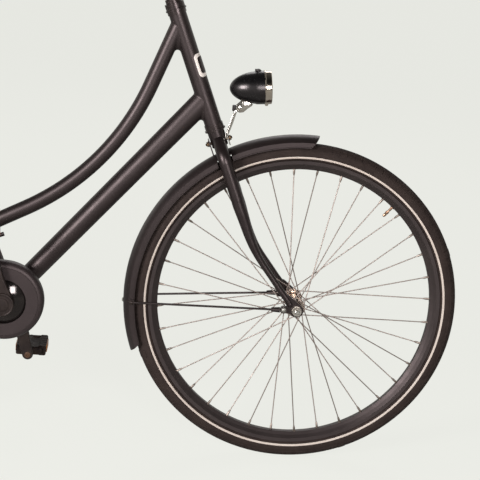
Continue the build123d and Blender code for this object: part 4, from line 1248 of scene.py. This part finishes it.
studio = {
    "pale": (0.8228, 0.8308, 0.7835), "floor": 60, "aim": (0, 0, 0.4),
    "ambient": 0.24, "floorGlow": 0.9, "ceiling": (0.25, 0.60, 1, 0.10),
    "room": (-0.5, 0.4, 0.16, 1), "lift": 1.05, "horizon": 0.96, "mirrored": 0.36,
    "lamps": [
        ("leftLamp", (-1.85, -2.35, 1.15), (0.9, 1.1), 96),
        ("frontLamp", (0.95, -3.00, 1.15), (0.7, 0.9), 50),
        ("backLamp", (0.60, 3.10, 3.00), (2.2, 1.4), 28),
    ],
}


def paleShare(tree, share):
    # how much of the plain pale colour shows: the share for camera, glossy and clear rays, none for others
    path = addNode(tree, "ShaderNodeLightPath").outputs
    seen = mathOf(tree, "MAXIMUM", path["Is Camera Ray"], path["Is Glossy Ray"])
    seen = mathOf(tree, "MAXIMUM", seen, path["Is Transmission Ray"])
    return mathOf(tree, "MULTIPLY", seen, share)


def setFloor():
    floor = startShape("plane", size=studio["floor"])
    floor.name = "floor"
    finish, tree, shader = freshMaterial("floorPale")
    setInputs(shader, {"Base Color": wide(studio["pale"]), "Roughness": 1, "Specular IOR Level": 0})
    mirrored = addNode(tree, "ShaderNodeLightPath").outputs["Is Glossy Ray"]
    strength = rangeOf(tree, mirrored, 0, 1, studio["lift"], studio["mirrored"])
    glow = addNode(tree, "ShaderNodeEmission", {"Color": wide(studio["pale"]), "Strength": strength})
    share = paleShare(tree, studio["floorGlow"])
    mixed = addNode(tree, "ShaderNodeMixShader", {0: share, 1: shader.outputs[0], 2: glow.outputs[0]})
    tree.links.new(mixed.outputs[0], tree.nodes["Material Output"].inputs["Surface"])
    floor.data.materials.append(finish)


def setWorld():
    world = bpy.data.worlds.new("studio")
    scene.world = world
    world.use_nodes = True
    tree = world.node_tree
    background = tree.nodes["Background"]
    setInputs(background, {"Color": wide(studio["pale"])})
    # pale towards the horizon and dim overhead, as a studio with a dark ceiling
    towards = addNode(tree, "ShaderNodeTexCoord").outputs["Generated"]
    towards = addNode(tree, "ShaderNodeSeparateXYZ", {"Vector": towards}).outputs
    ceiling = rangeOf(tree, towards["Z"], *studio["ceiling"])
    room = rangeOf(tree, towards["Y"], *studio["room"])
    cameraRay = addNode(tree, "ShaderNodeLightPath").outputs["Is Camera Ray"]
    seen = rangeOf(tree, cameraRay, 0, 1, 0, studio["horizon"])
    pale = mathOf(tree, "MAXIMUM", mathOf(tree, "MULTIPLY", ceiling, room), seen)
    share = paleShare(tree, 1)
    ambient = rangeOf(tree, share, 0, 1, studio["ambient"], 0)
    strength = mathOf(tree, "ADD", mathOf(tree, "MULTIPLY", share, pale), ambient)
    tree.links.new(strength, background.inputs["Strength"])


def setLamps():
    for name, place, size, power in studio["lamps"]:
        light = bpy.data.lights.new(name, "AREA")
        light.shape = "RECTANGLE"
        light.size, light.size_y = size
        light.energy = power
        panel = bpy.data.objects.new(name, light)
        scene.collection.objects.link(panel)
        panel.location = place
        towards = Vector(studio["aim"]) - Vector(place)
        panel.rotation_euler = towards.to_track_quat("-Z", "Y").to_euler()


setFloor()
setWorld()
setLamps()
scene.view_settings.view_transform = "Standard"
print("studio set")
